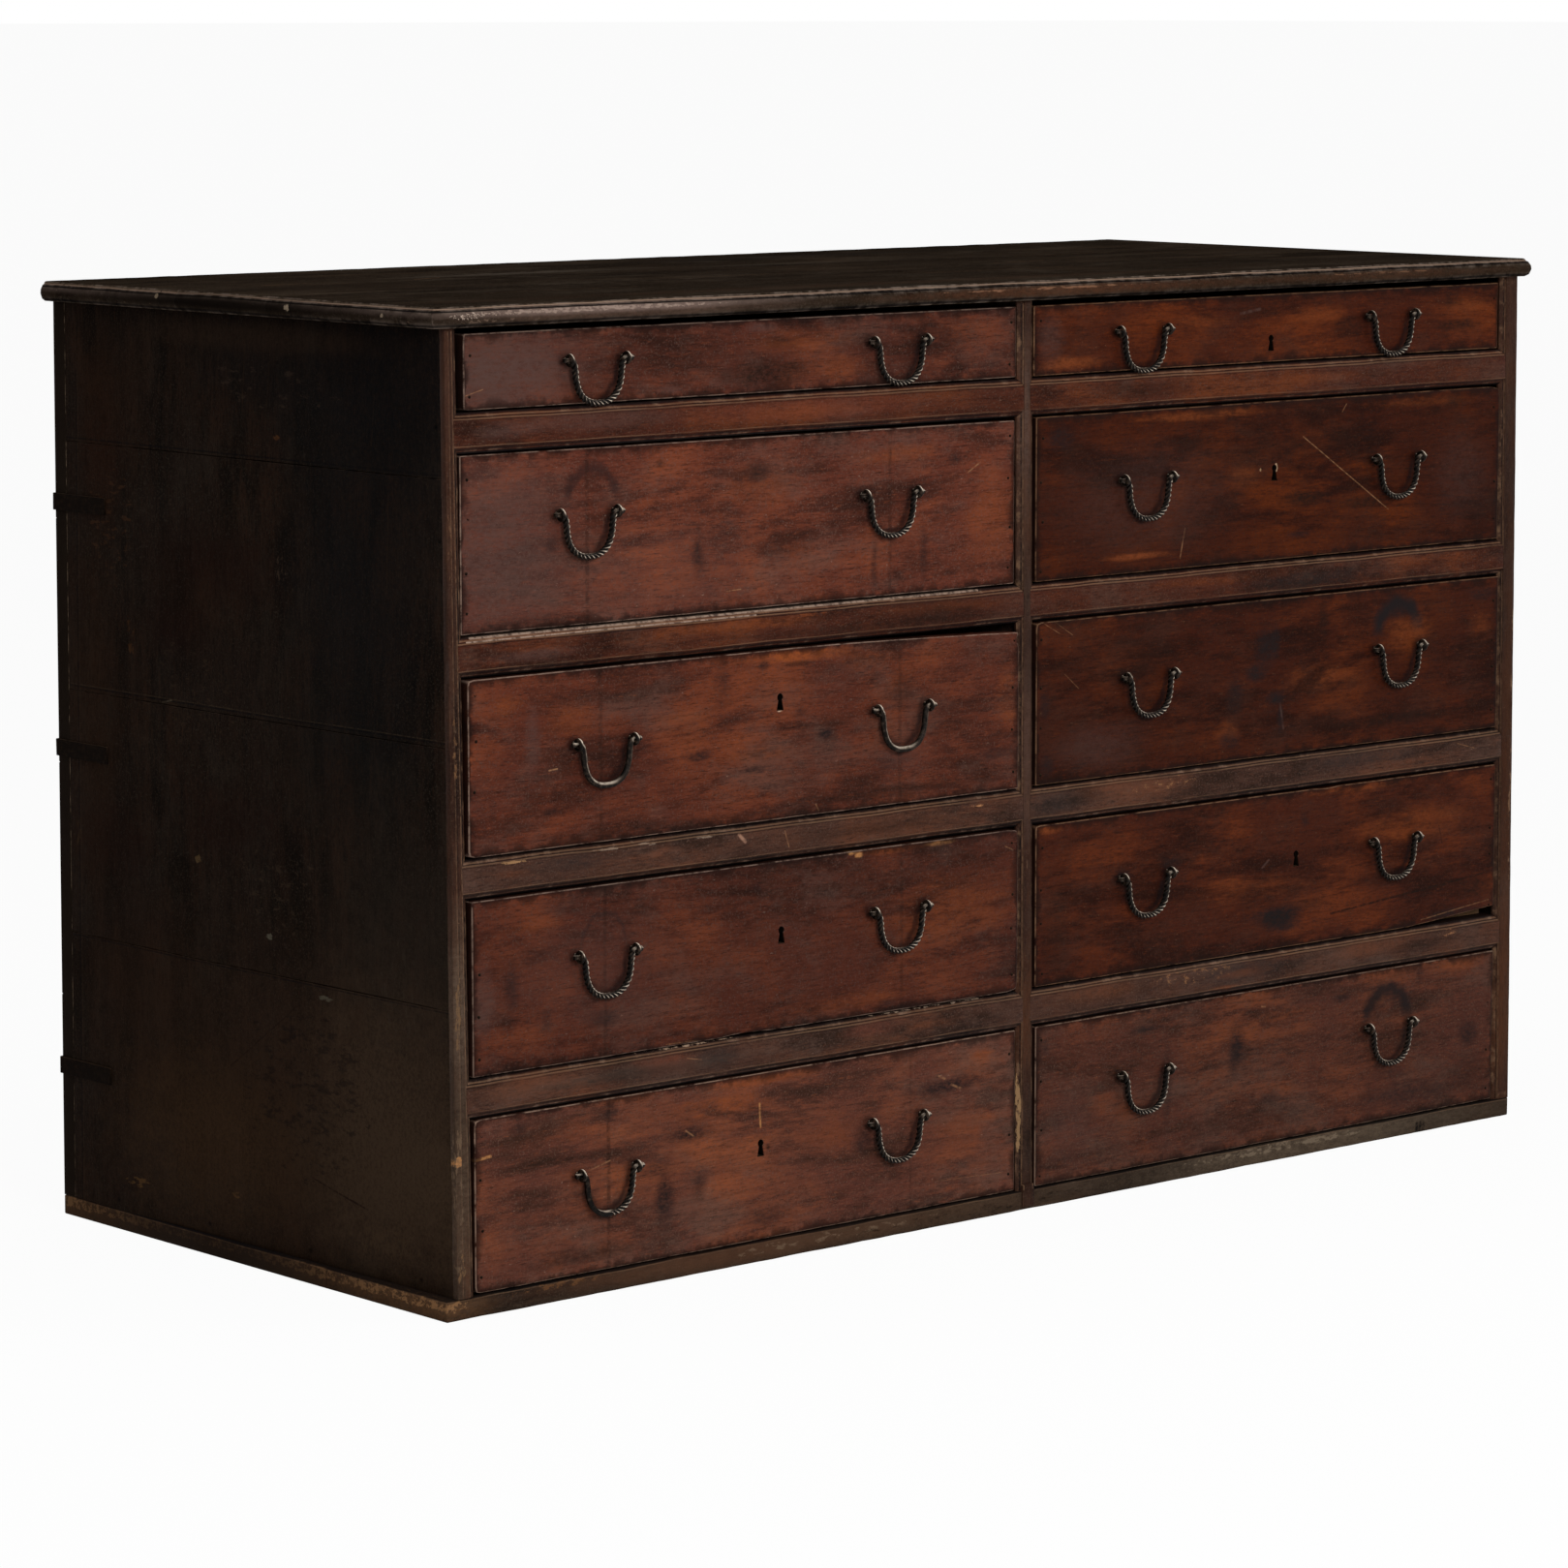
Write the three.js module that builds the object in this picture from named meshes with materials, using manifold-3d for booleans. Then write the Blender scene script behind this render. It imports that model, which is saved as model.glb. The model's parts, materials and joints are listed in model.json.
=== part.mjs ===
// Two-column chest of ten drawers, of nailed boards with moulded facings and wrought iron bails.
// Millimetres, +Z up, +X to the viewer's right, the drawers open towards -Y.
// Pieces are drawn in case coordinates: x from the left face, y from the front face, z from the floor.
import * as THREE from "three";
import { mergeVertices } from "three/addons/utils/BufferGeometryUtils.js";
import Module from "manifold-3d";

const wasm = await Module();
wasm.setup();

// Case
const caseWidth = 1654;
const caseDepth = 709;
const sideThickness = 16;
const backThickness = 22;
const baseThickness = 22;
const topThickness = 22;
const overhangLeft = 22;
const overhangRight = 10;
const overhangFront = 14;
const seatGap = 0.3;
const overrun = 20;

// Front frame: moulded facings nailed on the edges of the boards
const facingThickness = 8;
const leftStileWidth = 24;
const rightStileTopWidth = 27;
const rightStileFootWidth = 16;
const centreStileTopWidth = 23.3;
const centreStileFootWidth = 26.8;
const centreShiftAtTop = 3.65;
const centreShiftAtFoot = 10.9;
const frontLean = 15;
const frontLeanRight = 10;
const leanDepth = 600;
const railHeight = 42;
const railDepth = 40;
const dustBoardThickness = 18;
const mouldingWidth = 7;
const mouldingDepth = 5;
const mouldingReachShares = [1, 1, 0.66, 0.2, 0];
const mouldingDepthShares = [-0.4, 0.24, 0.3, 0.8, 1];

// Drawers: row 1 is the shallow one at the top
const columnNames = ["left", "right"];
const deepRows = 4;
const deepFrontHeight = 186;
const shallowFrontHeight = 79;
const gapBelowFront = 2;
const gapAboveFront = 2;
const gapAboveShallowFront = 7;
const frontThickness = 22;
const frontEdgeRound = 1.6;
const shrunkDrawers = ["left_drawer_3"];
const shrinkFall = 8.5;
const shrinkStartShare = 0.56;
const sideGap = 1;
const leftEndGapShares = { left: [9.7, 1.9, 1, 1.1, 2], right: [1, 1.8, 1.2, 1, 1.4] };
const rightEndGapShares = { left: [1, 1.2, 1, 1.2, 1.6], right: [4, 1, 1, 1, 1] };
const frontSetback = 1;
const setbackShares = { left: [4, 6, -1.5, -1, 3], right: [3, 1, 0, 1, 2] };
const trayWall = 12;
const trayFloor = 8;
const trayEndInset = 2;
const trayDropDeep = 14;
const trayDropShallow = 10;
const trayBackClearance = 10;
const runnerGap = 0.4;

// Locks: the row numbers that have one, and where along the front the keyhole is
const lockShares = { left: { 3: [0.545, 0.69], 4: [0.545, 0.56], 5: [0.508, 0.55] } };
lockShares.right = { 1: [0.492, 0.28], 2: [0.495, 0.55], 4: [0.548, 0.565] };
const keyholeEye = 6.6;
const keyholeHeight = 19;
const keyholeFootWidth = 8;
const keyholeWaist = 3.4;
const keyholePathInLock = 3;
const keyholeEyeSides = 8;
const lockWidth = 62;
const lockHeight = 44;
const lockDepth = 11;

// Bails and the split pins that carry them
const eyeSpan = 77;
const eyeStandOff = 8;
const eyeRadius = 5;
const eyeRod = 1.7;
const pinNeckRadius = 2.1;
const pinSeatDepth = 2;
const ringSteps = 8;
const ringRodSides = 5;
const neckSides = 5;
const bailDrop = 46;
const barRadius = 2.95;
const tipRadius = 2.3;
const ribSpacing = 7.8;
const twistStepsPerRib = 2;
const tipLengthShare = 0.07;
const squareBarSides = 4;
const plainBarSides = 6;
const bailPathShares = [[1.22, 0], [1.01, 0], [0.93, -0.01], [0.86, -0.07], [0.815, -0.24]];
bailPathShares.push([0.775, -0.5], [0.63, -0.78], [0.36, -0.95], [0, -1]);
const bailShares = {
  left: [
    [[0.22, 0.59], [0.768, 0.61]],
    [[0.21, 0.634], [0.755, 0.608]],
    [[0.227, 0.578], [0.768, 0.58]],
    [[0.225, 0.61], [0.762, 0.616]],
    [[0.226, 0.586], [0.762, 0.583]],
  ],
  right: [
    [[0.215, 0.575], [0.75, 0.6]],
    [[0.22, 0.58], [0.76, 0.586]],
    [[0.225, 0.605], [0.766, 0.608]],
    [[0.221, 0.6], [0.761, 0.6]],
    [[0.22, 0.602], [0.755, 0.626]],
  ],
};
const plainBails = ["left_drawer_3_bail_a", "left_drawer_3_bail_b"];
const halfPlainBails = ["left_drawer_5_bail_a"];

// Board joints and iron straps
const jointWidth = 1;
const jointDepth = 1.2;
const sideJointShares = [0.31, 0.57, 0.833];
const backJointShares = [0.24, 0.49, 0.75];
const topJointShares = [0.392, 0.63];
const edgeInset = 7;
const edgeInsetShares = [0.86, 0.3, 0, 0.06, 0.42, 0.72, 0.8, 1];
const edgeHeightShares = [0, 0.12, 0.4, 0.6, 0.82, 0.87, 0.95, 1];
const strapThickness = 3;
const strapHeight = 19;
const strapSideLeg = 98;
const strapBackLeg = 98;
const strapHeightShares = [0.163, 0.506, 0.768];
const strapBend = 4;
const strapBendSteps = 3;

// Sizes that follow
const deepOpening = gapBelowFront + deepFrontHeight + gapAboveFront;
const shallowOpening = gapBelowFront + shallowFrontHeight + gapAboveShallowFront;
const rowPitch = deepOpening + railHeight;
const undersideOfTop = baseThickness + deepRows * rowPitch + shallowOpening;
const totalHeight = undersideOfTop + topThickness;
const backFace = caseDepth + strapThickness + seatGap;
const panelBack = caseDepth - backThickness - seatGap;
const panelFoot = baseThickness + seatGap;
const panelTop = undersideOfTop - seatGap;
const innerDepth = panelBack - facingThickness;
const slotEnd = facingThickness + innerDepth / 2;
const halfSpan = eyeSpan / 2;
const proudestFace = frontSetback * Math.min(...setbackShares.left, ...setbackShares.right);
const frontReach = Math.max(overhangFront, eyeStandOff + eyeRadius + eyeRod - proudestFace);

// How far down the front a height lies: 0 under the top, 1 at the floor
const fallShare = (z) => 1 - z / undersideOfTop;
const leanShare = (y, z) => fallShare(z) * Math.max(0, 1 - y / leanDepth);
const outerEdge = (y, z) => frontLean * leanShare(y, z);
const farEdge = (y, z) => caseWidth + frontLeanRight * leanShare(y, z);
const blend = (atTop, atFoot, z) => atTop + (atFoot - atTop) * fallShare(z);
const centreShift = (z) => blend(centreShiftAtTop, centreShiftAtFoot, z);
const centreHalf = (z) => blend(centreStileTopWidth, centreStileFootWidth, z) / 2;
const rightStileWidth = (z) => blend(rightStileTopWidth, rightStileFootWidth, z);
const columnEdges = {
  left: [
    (z) => outerEdge(0, z) + leftStileWidth,
    (z) => caseWidth / 2 + centreShift(z) - centreHalf(z),
  ],
  right: [
    (z) => caseWidth / 2 + centreShift(z) + centreHalf(z),
    (z) => caseWidth - rightStileWidth(z),
  ],
};
const partitionLeft = columnEdges.left[1](0) + sideGap / 2;
const partitionRight = columnEdges.right[0](undersideOfTop) - sideGap / 2;

// Colours
const finishes = {
  drawerFront: { color: 0x5a2a1a, roughness: 0.5, metalness: 0 },
  facing: { color: 0x4a2c20, roughness: 0.55, metalness: 0 },
  caseBoard: { color: 0x221b16, roughness: 0.6, metalness: 0 },
  topBoard: { color: 0x3a302a, roughness: 0.6, metalness: 0 },
  innerWood: { color: 0x7a5a3c, roughness: 0.75, metalness: 0 },
  iron: { color: 0x1c1a19, roughness: 0.45, metalness: 0.85 },
};

// Turns a three.js geometry into a solid
function toSolid(geometry) {
  const bare = geometry.clone();
  bare.deleteAttribute("normal");
  bare.deleteAttribute("uv");
  const merged = mergeVertices(bare);
  const vertProperties = Float32Array.from(merged.attributes.position.array);
  const triVerts = Uint32Array.from(merged.index.array);
  return new wasm.Manifold(new wasm.Mesh({ numProp: 3, vertProperties, triVerts }));
}

// Turns a solid back into a geometry
function toGeometry(solid) {
  const mesh = solid.getMesh();
  const geometry = new THREE.BufferGeometry();
  geometry.setAttribute("position", new THREE.BufferAttribute(mesh.vertProperties, 3));
  geometry.setIndex(new THREE.BufferAttribute(mesh.triVerts, 1));
  geometry.computeVertexNormals();
  return geometry;
}

// Box between two corners
function block(x0, x1, y0, y1, z0, z1) {
  const geometry = new THREE.BoxGeometry(x1 - x0, y1 - y0, z1 - z0);
  geometry.translate((x0 + x1) / 2, (y0 + y1) / 2, (z0 + z1) / 2);
  return toSolid(geometry);
}

// Signed volume of a closed triangle list
function signedVolume(points, faces) {
  const a = new THREE.Vector3();
  const b = new THREE.Vector3();
  const c = new THREE.Vector3();
  return faces.reduce((sum, [i, j, k]) => {
    a.fromArray(points[i]);
    b.fromArray(points[j]);
    c.fromArray(points[k]);
    return sum + a.dot(b.cross(c));
  }, 0);
}

// Closed skin through rings of equal point counts, with flat ends
function loftGeometry(rings) {
  const count = rings[0].length;
  const points = rings.flat();
  const faces = [];
  for (let ring = 0; ring + 1 < rings.length; ring += 1) {
    for (let i = 0; i < count; i += 1) {
      const a = ring * count + i;
      const b = ring * count + ((i + 1) % count);
      faces.push([a, b, b + count], [a, b + count, a + count]);
    }
  }
  const last = (rings.length - 1) * count;
  for (let i = 1; i + 1 < count; i += 1) {
    faces.push([0, i + 1, i], [last, last + i, last + i + 1]);
  }
  const outward = signedVolume(points, faces) > 0;
  const index = faces.flatMap(([i, j, k]) => (outward ? [i, j, k] : [i, k, j]));
  const geometry = new THREE.BufferGeometry();
  geometry.setAttribute("position", new THREE.Float32BufferAttribute(points.flat(), 3));
  geometry.setIndex(index);
  return geometry;
}

const loft = (rings) => toSolid(loftGeometry(rings));

// Plate of a convex outline of [x, z] points, from y0 to y1
const plate = (outline, y0, y1) => loft([y0, y1].map((y) => outline.map(([x, z]) => [x, y, z])));

// Floor and ceiling of a row's opening
function rowSpan(row) {
  if (row === 1) return [undersideOfTop - shallowOpening, undersideOfTop];
  const floor = baseThickness + (deepRows + 1 - row) * rowPitch;
  return [floor, floor + deepOpening];
}

// Outline of an opening, grown on all sides; the lowest and highest rows run on past the frame
function openingOutline(column, row, grow) {
  const [z0, z1] = rowSpan(row);
  const [leftEdge, rightEdge] = columnEdges[column];
  const foot = row === deepRows + 1 ? z0 - overrun : z0 - grow;
  const head = row === 1 ? z1 + overrun : z1 + grow;
  return [
    [leftEdge(z0) - grow, foot],
    [rightEdge(z0) + grow, foot],
    [rightEdge(z1) + grow, head],
    [leftEdge(z1) - grow, head],
  ];
}

// Cutter that works the moulding round an opening, mitred at its corners
function openingCutter(column, row) {
  const rings = mouldingReachShares.map((share, i) => {
    const outline = openingOutline(column, row, share * mouldingWidth);
    return outline.map(([x, z]) => [x, mouldingDepthShares[i] * mouldingDepth, z]);
  });
  const through = openingOutline(column, row, 0).map(([x, z]) => [x, facingThickness + overrun, z]);
  return loft([...rings, through]);
}

// Outline of the facing between two rows, with its mitred ends, widened by a gap for the notches
function railOutline(column, row, gap) {
  const top = rowSpan(row)[0];
  const foot = top - railHeight;
  const [leftEdge, rightEdge] = columnEdges[column];
  return [
    [leftEdge(foot) - gap, foot],
    [rightEdge(foot) + gap, foot],
    [rightEdge(foot) + mouldingWidth + gap, foot + mouldingWidth],
    [rightEdge(top) + mouldingWidth + gap, top - mouldingWidth],
    [rightEdge(top) + gap, top],
    [leftEdge(top) - gap, top],
    [leftEdge(top) - mouldingWidth - gap, top - mouldingWidth],
    [leftEdge(foot) - mouldingWidth - gap, foot + mouldingWidth],
  ];
}

const railRows = [1, 2, 3, 4];
const allRows = [1, 2, 3, 4, 5];

// Works the mouldings into a stile and notches it for the ends of the rails
function dressStile(stile, columns) {
  let shaped = stile;
  for (const column of columns) {
    for (const row of railRows) {
      shaped = shaped.subtract(plate(railOutline(column, row, seatGap), -overrun, facingThickness + seatGap));
    }
    for (const row of allRows) shaped = shaped.subtract(openingCutter(column, row));
  }
  return shaped;
}

// Shallow lines at the joints of the boards, cut into a face between two surfaces
function scoreJoints(panel, skin, heights) {
  return heights.reduce((solid, z) => {
    const [x0, x1] = [-overrun, caseWidth + overrun];
    const slice = block(x0, x1, -overrun, backFace, z - jointWidth / 2, z + jointWidth / 2);
    return solid.subtract(slice.intersect(skin));
  }, panel);
}

const panelStations = [facingThickness + seatGap, leanDepth, panelBack];
const cutStations = [-overrun, facingThickness + seatGap, leanDepth, backFace];

// A side without its joint lines, between two faces: its front edge leans to the right towards the floor
function panelBody(nearFace, farFace, stations) {
  const rings = stations.map((y) => [
    [nearFace(y, panelFoot), y, panelFoot],
    [farFace(y, panelFoot), y, panelFoot],
    [farFace(y, panelTop), y, panelTop],
    [nearFace(y, panelTop), y, panelTop],
  ]);
  return loft(rings);
}

function leftPanelBody(near, far, stations) {
  return panelBody((y, z) => outerEdge(y, z) + near, (y, z) => outerEdge(y, z) + far, stations);
}

function rightPanelBody(near, far, stations) {
  return panelBody((y, z) => farEdge(y, z) - near, (y, z) => farEdge(y, z) - far, stations);
}

// Left side: four boards edge to edge
function leftSidePanel() {
  const panel = leftPanelBody(0, sideThickness, panelStations);
  const skin = leftPanelBody(-overrun, jointDepth, cutStations);
  return scoreJoints(panel, skin, sideJointShares.map((share) => share * totalHeight));
}

// Right side: the same boards
function rightSidePanel() {
  const panel = rightPanelBody(0, sideThickness, panelStations);
  const skin = rightPanelBody(-overrun, jointDepth, cutStations);
  return scoreJoints(panel, skin, sideJointShares.map((share) => share * totalHeight));
}

// Back: four wide boards laid across
function backPanel() {
  const panel = block(0, caseWidth, panelBack + seatGap, caseDepth, panelFoot, panelTop);
  const skin = block(-overrun, caseWidth + overrun, caseDepth - jointDepth, backFace, 0, totalHeight);
  return scoreJoints(panel, skin, backJointShares.map((share) => share * totalHeight));
}

// Bottom board, wider where the right side leans out over it
function bottomBoard() {
  const outline = [
    [0, 0],
    [farEdge(0, 0), 0],
    [farEdge(leanDepth, 0), leanDepth],
    [caseWidth, caseDepth],
    [0, caseDepth],
  ];
  return loft([0, baseThickness].map((z) => outline.map(([x, y]) => [x, y, z])));
}

// Top: three planks with one moulded edge worked on the front and both ends
function topPlank(index) {
  const rings = edgeInsetShares.map((share, i) => {
    const inset = share * edgeInset;
    const z = undersideOfTop + edgeHeightShares[i] * topThickness;
    return [
      [inset - overhangLeft, inset - overhangFront, z],
      [caseWidth + overhangRight - inset, inset - overhangFront, z],
      [caseWidth + overhangRight - inset, caseDepth, z],
      [inset - overhangLeft, caseDepth, z],
    ];
  });
  const joints = topJointShares.map((share) => share * caseDepth);
  const limits = [-overhangFront - overrun, ...joints, caseDepth + overrun];
  const front = limits[index] + seatGap / 2;
  const rear = limits[index + 1] - seatGap / 2;
  const [x0, x1] = [-overhangLeft - overrun, caseWidth + overhangRight + overrun];
  return loft(rings).intersect(block(x0, x1, front, rear, undersideOfTop - overrun, totalHeight + overrun));
}

// Corner facings
function leftStile() {
  const outline = [
    [outerEdge(0, panelFoot), panelFoot],
    [outerEdge(0, panelFoot) + leftStileWidth, panelFoot],
    [outerEdge(0, panelTop) + leftStileWidth, panelTop],
    [outerEdge(0, panelTop), panelTop],
  ];
  return dressStile(plate(outline, 0, facingThickness), ["left"]);
}

function rightStile() {
  const outline = [
    [caseWidth - rightStileWidth(panelFoot), panelFoot],
    [farEdge(0, panelFoot), panelFoot],
    [farEdge(0, panelTop), panelTop],
    [caseWidth - rightStileWidth(panelTop), panelTop],
  ];
  return dressStile(plate(outline, 0, facingThickness), ["right"]);
}

// Middle wall with the centre stile as its front edge; the dust boards pass through slots in its rear half
function centrePartition() {
  const outline = [
    [columnEdges.left[1](panelFoot), panelFoot],
    [columnEdges.right[0](panelFoot), panelFoot],
    [columnEdges.right[0](panelTop), panelTop],
    [columnEdges.left[1](panelTop), panelTop],
  ];
  const wall = block(partitionLeft, partitionRight, mouldingDepth, panelBack, panelFoot, panelTop);
  const whole = dressStile(plate(outline, 0, facingThickness).add(wall), columnNames);
  return railRows.reduce((solid, row) => {
    const top = rowSpan(row)[0];
    const [z0, z1] = [top - dustBoardThickness - seatGap, top + seatGap];
    return solid.subtract(block(partitionLeft - overrun, partitionRight + overrun, slotEnd, backFace, z0, z1));
  }, whole);
}

// Divider between two rows: moulded facings, front rail and dust board, slotted round the middle wall
function divider(row) {
  const top = rowSpan(row)[0];
  const foot = top - railHeight;
  const boardFoot = top - dustBoardThickness;
  const farRight = caseWidth - sideThickness / 2;
  const front = facingThickness + 2 * seatGap;
  const core = block(sideThickness / 2, farRight, front, railDepth, foot, top);
  const board = block(sideThickness / 2, farRight, railDepth / 2, panelBack, boardFoot, top);
  const slot = block(
    partitionLeft - seatGap,
    partitionRight + seatGap,
    facingThickness,
    slotEnd + seatGap,
    foot - overrun,
    top + overrun,
  );
  const leftCut = leftPanelBody(-overrun, sideThickness + seatGap, cutStations);
  const rightCut = rightPanelBody(-overrun, sideThickness + seatGap, cutStations);
  let solid = core.add(board).subtract(slot).subtract(leftCut).subtract(rightCut);
  for (const column of columnNames) {
    let facing = plate(railOutline(column, row, 0), 0, facingThickness);
    facing = facing.subtract(openingCutter(column, row)).subtract(openingCutter(column, row + 1));
    const [leftEdge, rightEdge] = columnEdges[column];
    const [x0, x1] = [leftEdge(foot) + seatGap, rightEdge(top) - seatGap];
    solid = solid.add(facing).add(block(x0, x1, mouldingDepth, front + seatGap, foot, top).subtract(slot));
  }
  return solid;
}

// Where a drawer front lies
function frontBox(column, row) {
  const [z0, z1] = rowSpan(row);
  const [leftEdge, rightEdge] = columnEdges[column];
  const above = row === 1 ? gapAboveShallowFront : gapAboveFront;
  const face = setbackShares[column][row - 1] * frontSetback;
  return {
    x0: leftEdge(z0) + leftEndGapShares[column][row - 1] * sideGap,
    x1: rightEdge(z1) - rightEndGapShares[column][row - 1] * sideGap,
    face,
    rear: face + frontThickness,
    floor: z0,
    z0: z0 + gapBelowFront,
    z1: z1 - above,
  };
}

// Key slot: a round eye over a flared foot
function keyhole(x, z, y0, y1) {
  const eye = new THREE.CylinderGeometry(keyholeEye / 2, keyholeEye / 2, y1 - y0, keyholeEyeSides);
  eye.translate(x, (y0 + y1) / 2, z + keyholeHeight / 2 - keyholeEye / 2);
  const foot = z - keyholeHeight / 2;
  const outline = [
    [x - keyholeFootWidth / 2, foot],
    [x + keyholeFootWidth / 2, foot],
    [x + keyholeWaist / 2, z + keyholeHeight / 2 - keyholeEye / 2],
    [x - keyholeWaist / 2, z + keyholeHeight / 2 - keyholeEye / 2],
  ];
  return toSolid(eye).add(plate(outline, y0, y1));
}

// Split pin: a ring that stands off the face, with the neck that is driven into the wood
function splitPin(x, face, z) {
  const ring = new THREE.TorusGeometry(eyeRadius, eyeRod, ringRodSides, ringSteps);
  ring.rotateY(Math.PI / 2);
  ring.translate(x, face - eyeStandOff, z);
  const neckStart = face - eyeStandOff + eyeRadius;
  const neckLength = face + pinSeatDepth - neckStart;
  const neck = new THREE.CylinderGeometry(pinNeckRadius, pinNeckRadius, neckLength, neckSides);
  neck.translate(x, (neckStart + face + pinSeatDepth) / 2, z);
  return toSolid(ring).add(toSolid(neck));
}

// The two bails of a drawer: middle and height of their eyes
function bailPlaces(column, row) {
  const front = frontBox(column, row);
  return bailShares[column][row - 1].map(([along, up]) => ({
    x: front.x0 + along * (front.x1 - front.x0),
    y: front.face - eyeStandOff,
    z: front.z0 + up * (front.z1 - front.z0),
  }));
}

// Drawer front with its softened face edges, split pins, keyhole and lock case; a shrunk one falls at its right end
function drawerFront(column, row) {
  const front = frontBox(column, row);
  const fall = shrunkDrawers.includes(`${column}_drawer_${row}`) ? shrinkFall : 0;
  const fallStart = front.x0 + shrinkStartShare * (front.x1 - front.x0);
  const ring = (inset, y) => [
    [front.x0 + inset, y, front.z0 + inset],
    [front.x1 - inset, y, front.z0 + inset],
    [front.x1 - inset, y, front.z1 - inset - fall],
    [fallStart, y, front.z1 - inset],
    [front.x0 + inset, y, front.z1 - inset],
  ];
  const soft = frontEdgeRound;
  let solid = loft([ring(soft, front.face), ring(0, front.face + soft), ring(0, front.rear)]);
  for (const place of bailPlaces(column, row)) {
    for (const side of [-1, 1]) {
      solid = solid.add(splitPin(place.x + side * halfSpan, front.face, place.z));
    }
  }
  const lock = lockShares[column][row];
  if (!lock) return solid;
  const x = front.x0 + lock[0] * (front.x1 - front.x0);
  const z = front.z0 + lock[1] * (front.z1 - front.z0);
  const half = lockWidth / 2;
  const lockFoot = Math.max(z - lockHeight / 2, front.z0 + trayFloor);
  const lockEnd = front.rear + lockDepth;
  const lockCase = block(x - half, x + half, front.rear - seatGap, lockEnd, lockFoot, lockFoot + lockHeight);
  return solid.add(lockCase).subtract(keyhole(x, z, front.face - overrun, front.rear + keyholePathInLock));
}

// Drawer box: two sides, a back and a bottom, nailed together and open above
function drawerTray(column, row) {
  const front = frontBox(column, row);
  const drop = row === 1 ? trayDropShallow : trayDropDeep;
  const [x0, x1] = [front.x0 + trayEndInset, front.x1 - trayEndInset];
  const [y0, y1] = [front.rear + seatGap, panelBack - trayBackClearance];
  const [z0, z1] = [front.floor + runnerGap, front.z1 - drop];
  const hollow = block(x0 + trayWall, x1 - trayWall, y0 - overrun, y1 - trayWall, z0 + trayFloor, z1 + overrun);
  return block(x0, x1, y0, y1, z0, z1).subtract(hollow);
}

// Middle line of a bail, from its left tip to its right tip, about the middle of its eyes
function bailPath() {
  const place = ([along, down], side) => new THREE.Vector3(side * along * halfSpan, 0, down * bailDrop);
  const leftHalf = bailPathShares.map((shares) => place(shares, -1));
  const rightHalf = bailPathShares.slice(0, -1).map((shares) => place(shares, 1)).reverse();
  return new THREE.CatmullRomCurve3([...leftHalf, ...rightHalf], false, "centripetal");
}

// Bail of square bar, twisted cold between its turned tips; a few are left plain or half plain
function bail(name, place) {
  const path = bailPath();
  const plain = plainBails.includes(name);
  const steps = Math.round((path.getLength() / ribSpacing) * (plain ? 1 : twistStepsPerRib));
  const sides = plain ? plainBarSides : squareBarSides;
  let turn = Math.PI / sides;
  const rings = [];
  for (let step = 0; step <= steps; step += 1) {
    const along = step / steps;
    const middle = path.getPointAt(along);
    const heading = path.getTangentAt(along);
    const across = new THREE.Vector3(-heading.z, 0, heading.x);
    const fromTip = Math.min(along, 1 - along);
    const inTip = fromTip < tipLengthShare;
    const radius = inTip ? tipRadius : plain ? tipRadius + (barRadius - tipRadius) / 2 : barRadius;
    const twisted = !plain && !inTip && !(halfPlainBails.includes(name) && along < 1 / 2);
    if (twisted) turn += Math.PI / 2 / twistStepsPerRib;
    const ring = [];
    for (let i = 0; i < sides; i += 1) {
      const angle = turn + (i / sides) * Math.PI * 2;
      const point = across.clone().multiplyScalar(Math.cos(angle) * radius).add(middle);
      ring.push([point.x + place.x, place.y + Math.sin(angle) * radius, point.z + place.z]);
    }
    rings.push(ring);
  }
  return loft(rings);
}

// Iron strap bent round a back corner
function cornerStrap(side, z) {
  const out = strapThickness + seatGap;
  const bend = [];
  for (let i = 0; i <= strapBendSteps; i += 1) {
    const angle = (i / strapBendSteps) * (Math.PI / 2);
    const reach = out - strapBend;
    bend.push([-reach - strapBend * Math.cos(angle), caseDepth + reach + strapBend * Math.sin(angle)]);
  }
  const outline = [
    [-seatGap, caseDepth - strapSideLeg],
    [-out, caseDepth - strapSideLeg],
    ...bend,
    [strapBackLeg, caseDepth + out],
    [strapBackLeg, caseDepth + seatGap],
    [-seatGap, caseDepth + seatGap],
  ];
  const placed = outline.map(([x, y]) => new THREE.Vector2(side === "left" ? x : caseWidth - x, y));
  const shape = new THREE.Shape(placed);
  const geometry = new THREE.ExtrudeGeometry(shape, { depth: strapHeight, bevelEnabled: false });
  geometry.translate(0, 0, z - strapHeight / 2);
  return toSolid(geometry);
}

const chest = new THREE.Group();
const middleX = (caseWidth + overhangRight - overhangLeft) / 2;
const middleY = (backFace - frontReach) / 2;
chest.position.set(-middleX, -middleY, 0);

function addPiece(name, solid, finish) {
  const mesh = new THREE.Mesh(toGeometry(solid), new THREE.MeshStandardMaterial(finishes[finish]));
  mesh.name = name;
  chest.add(mesh);
}

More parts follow.
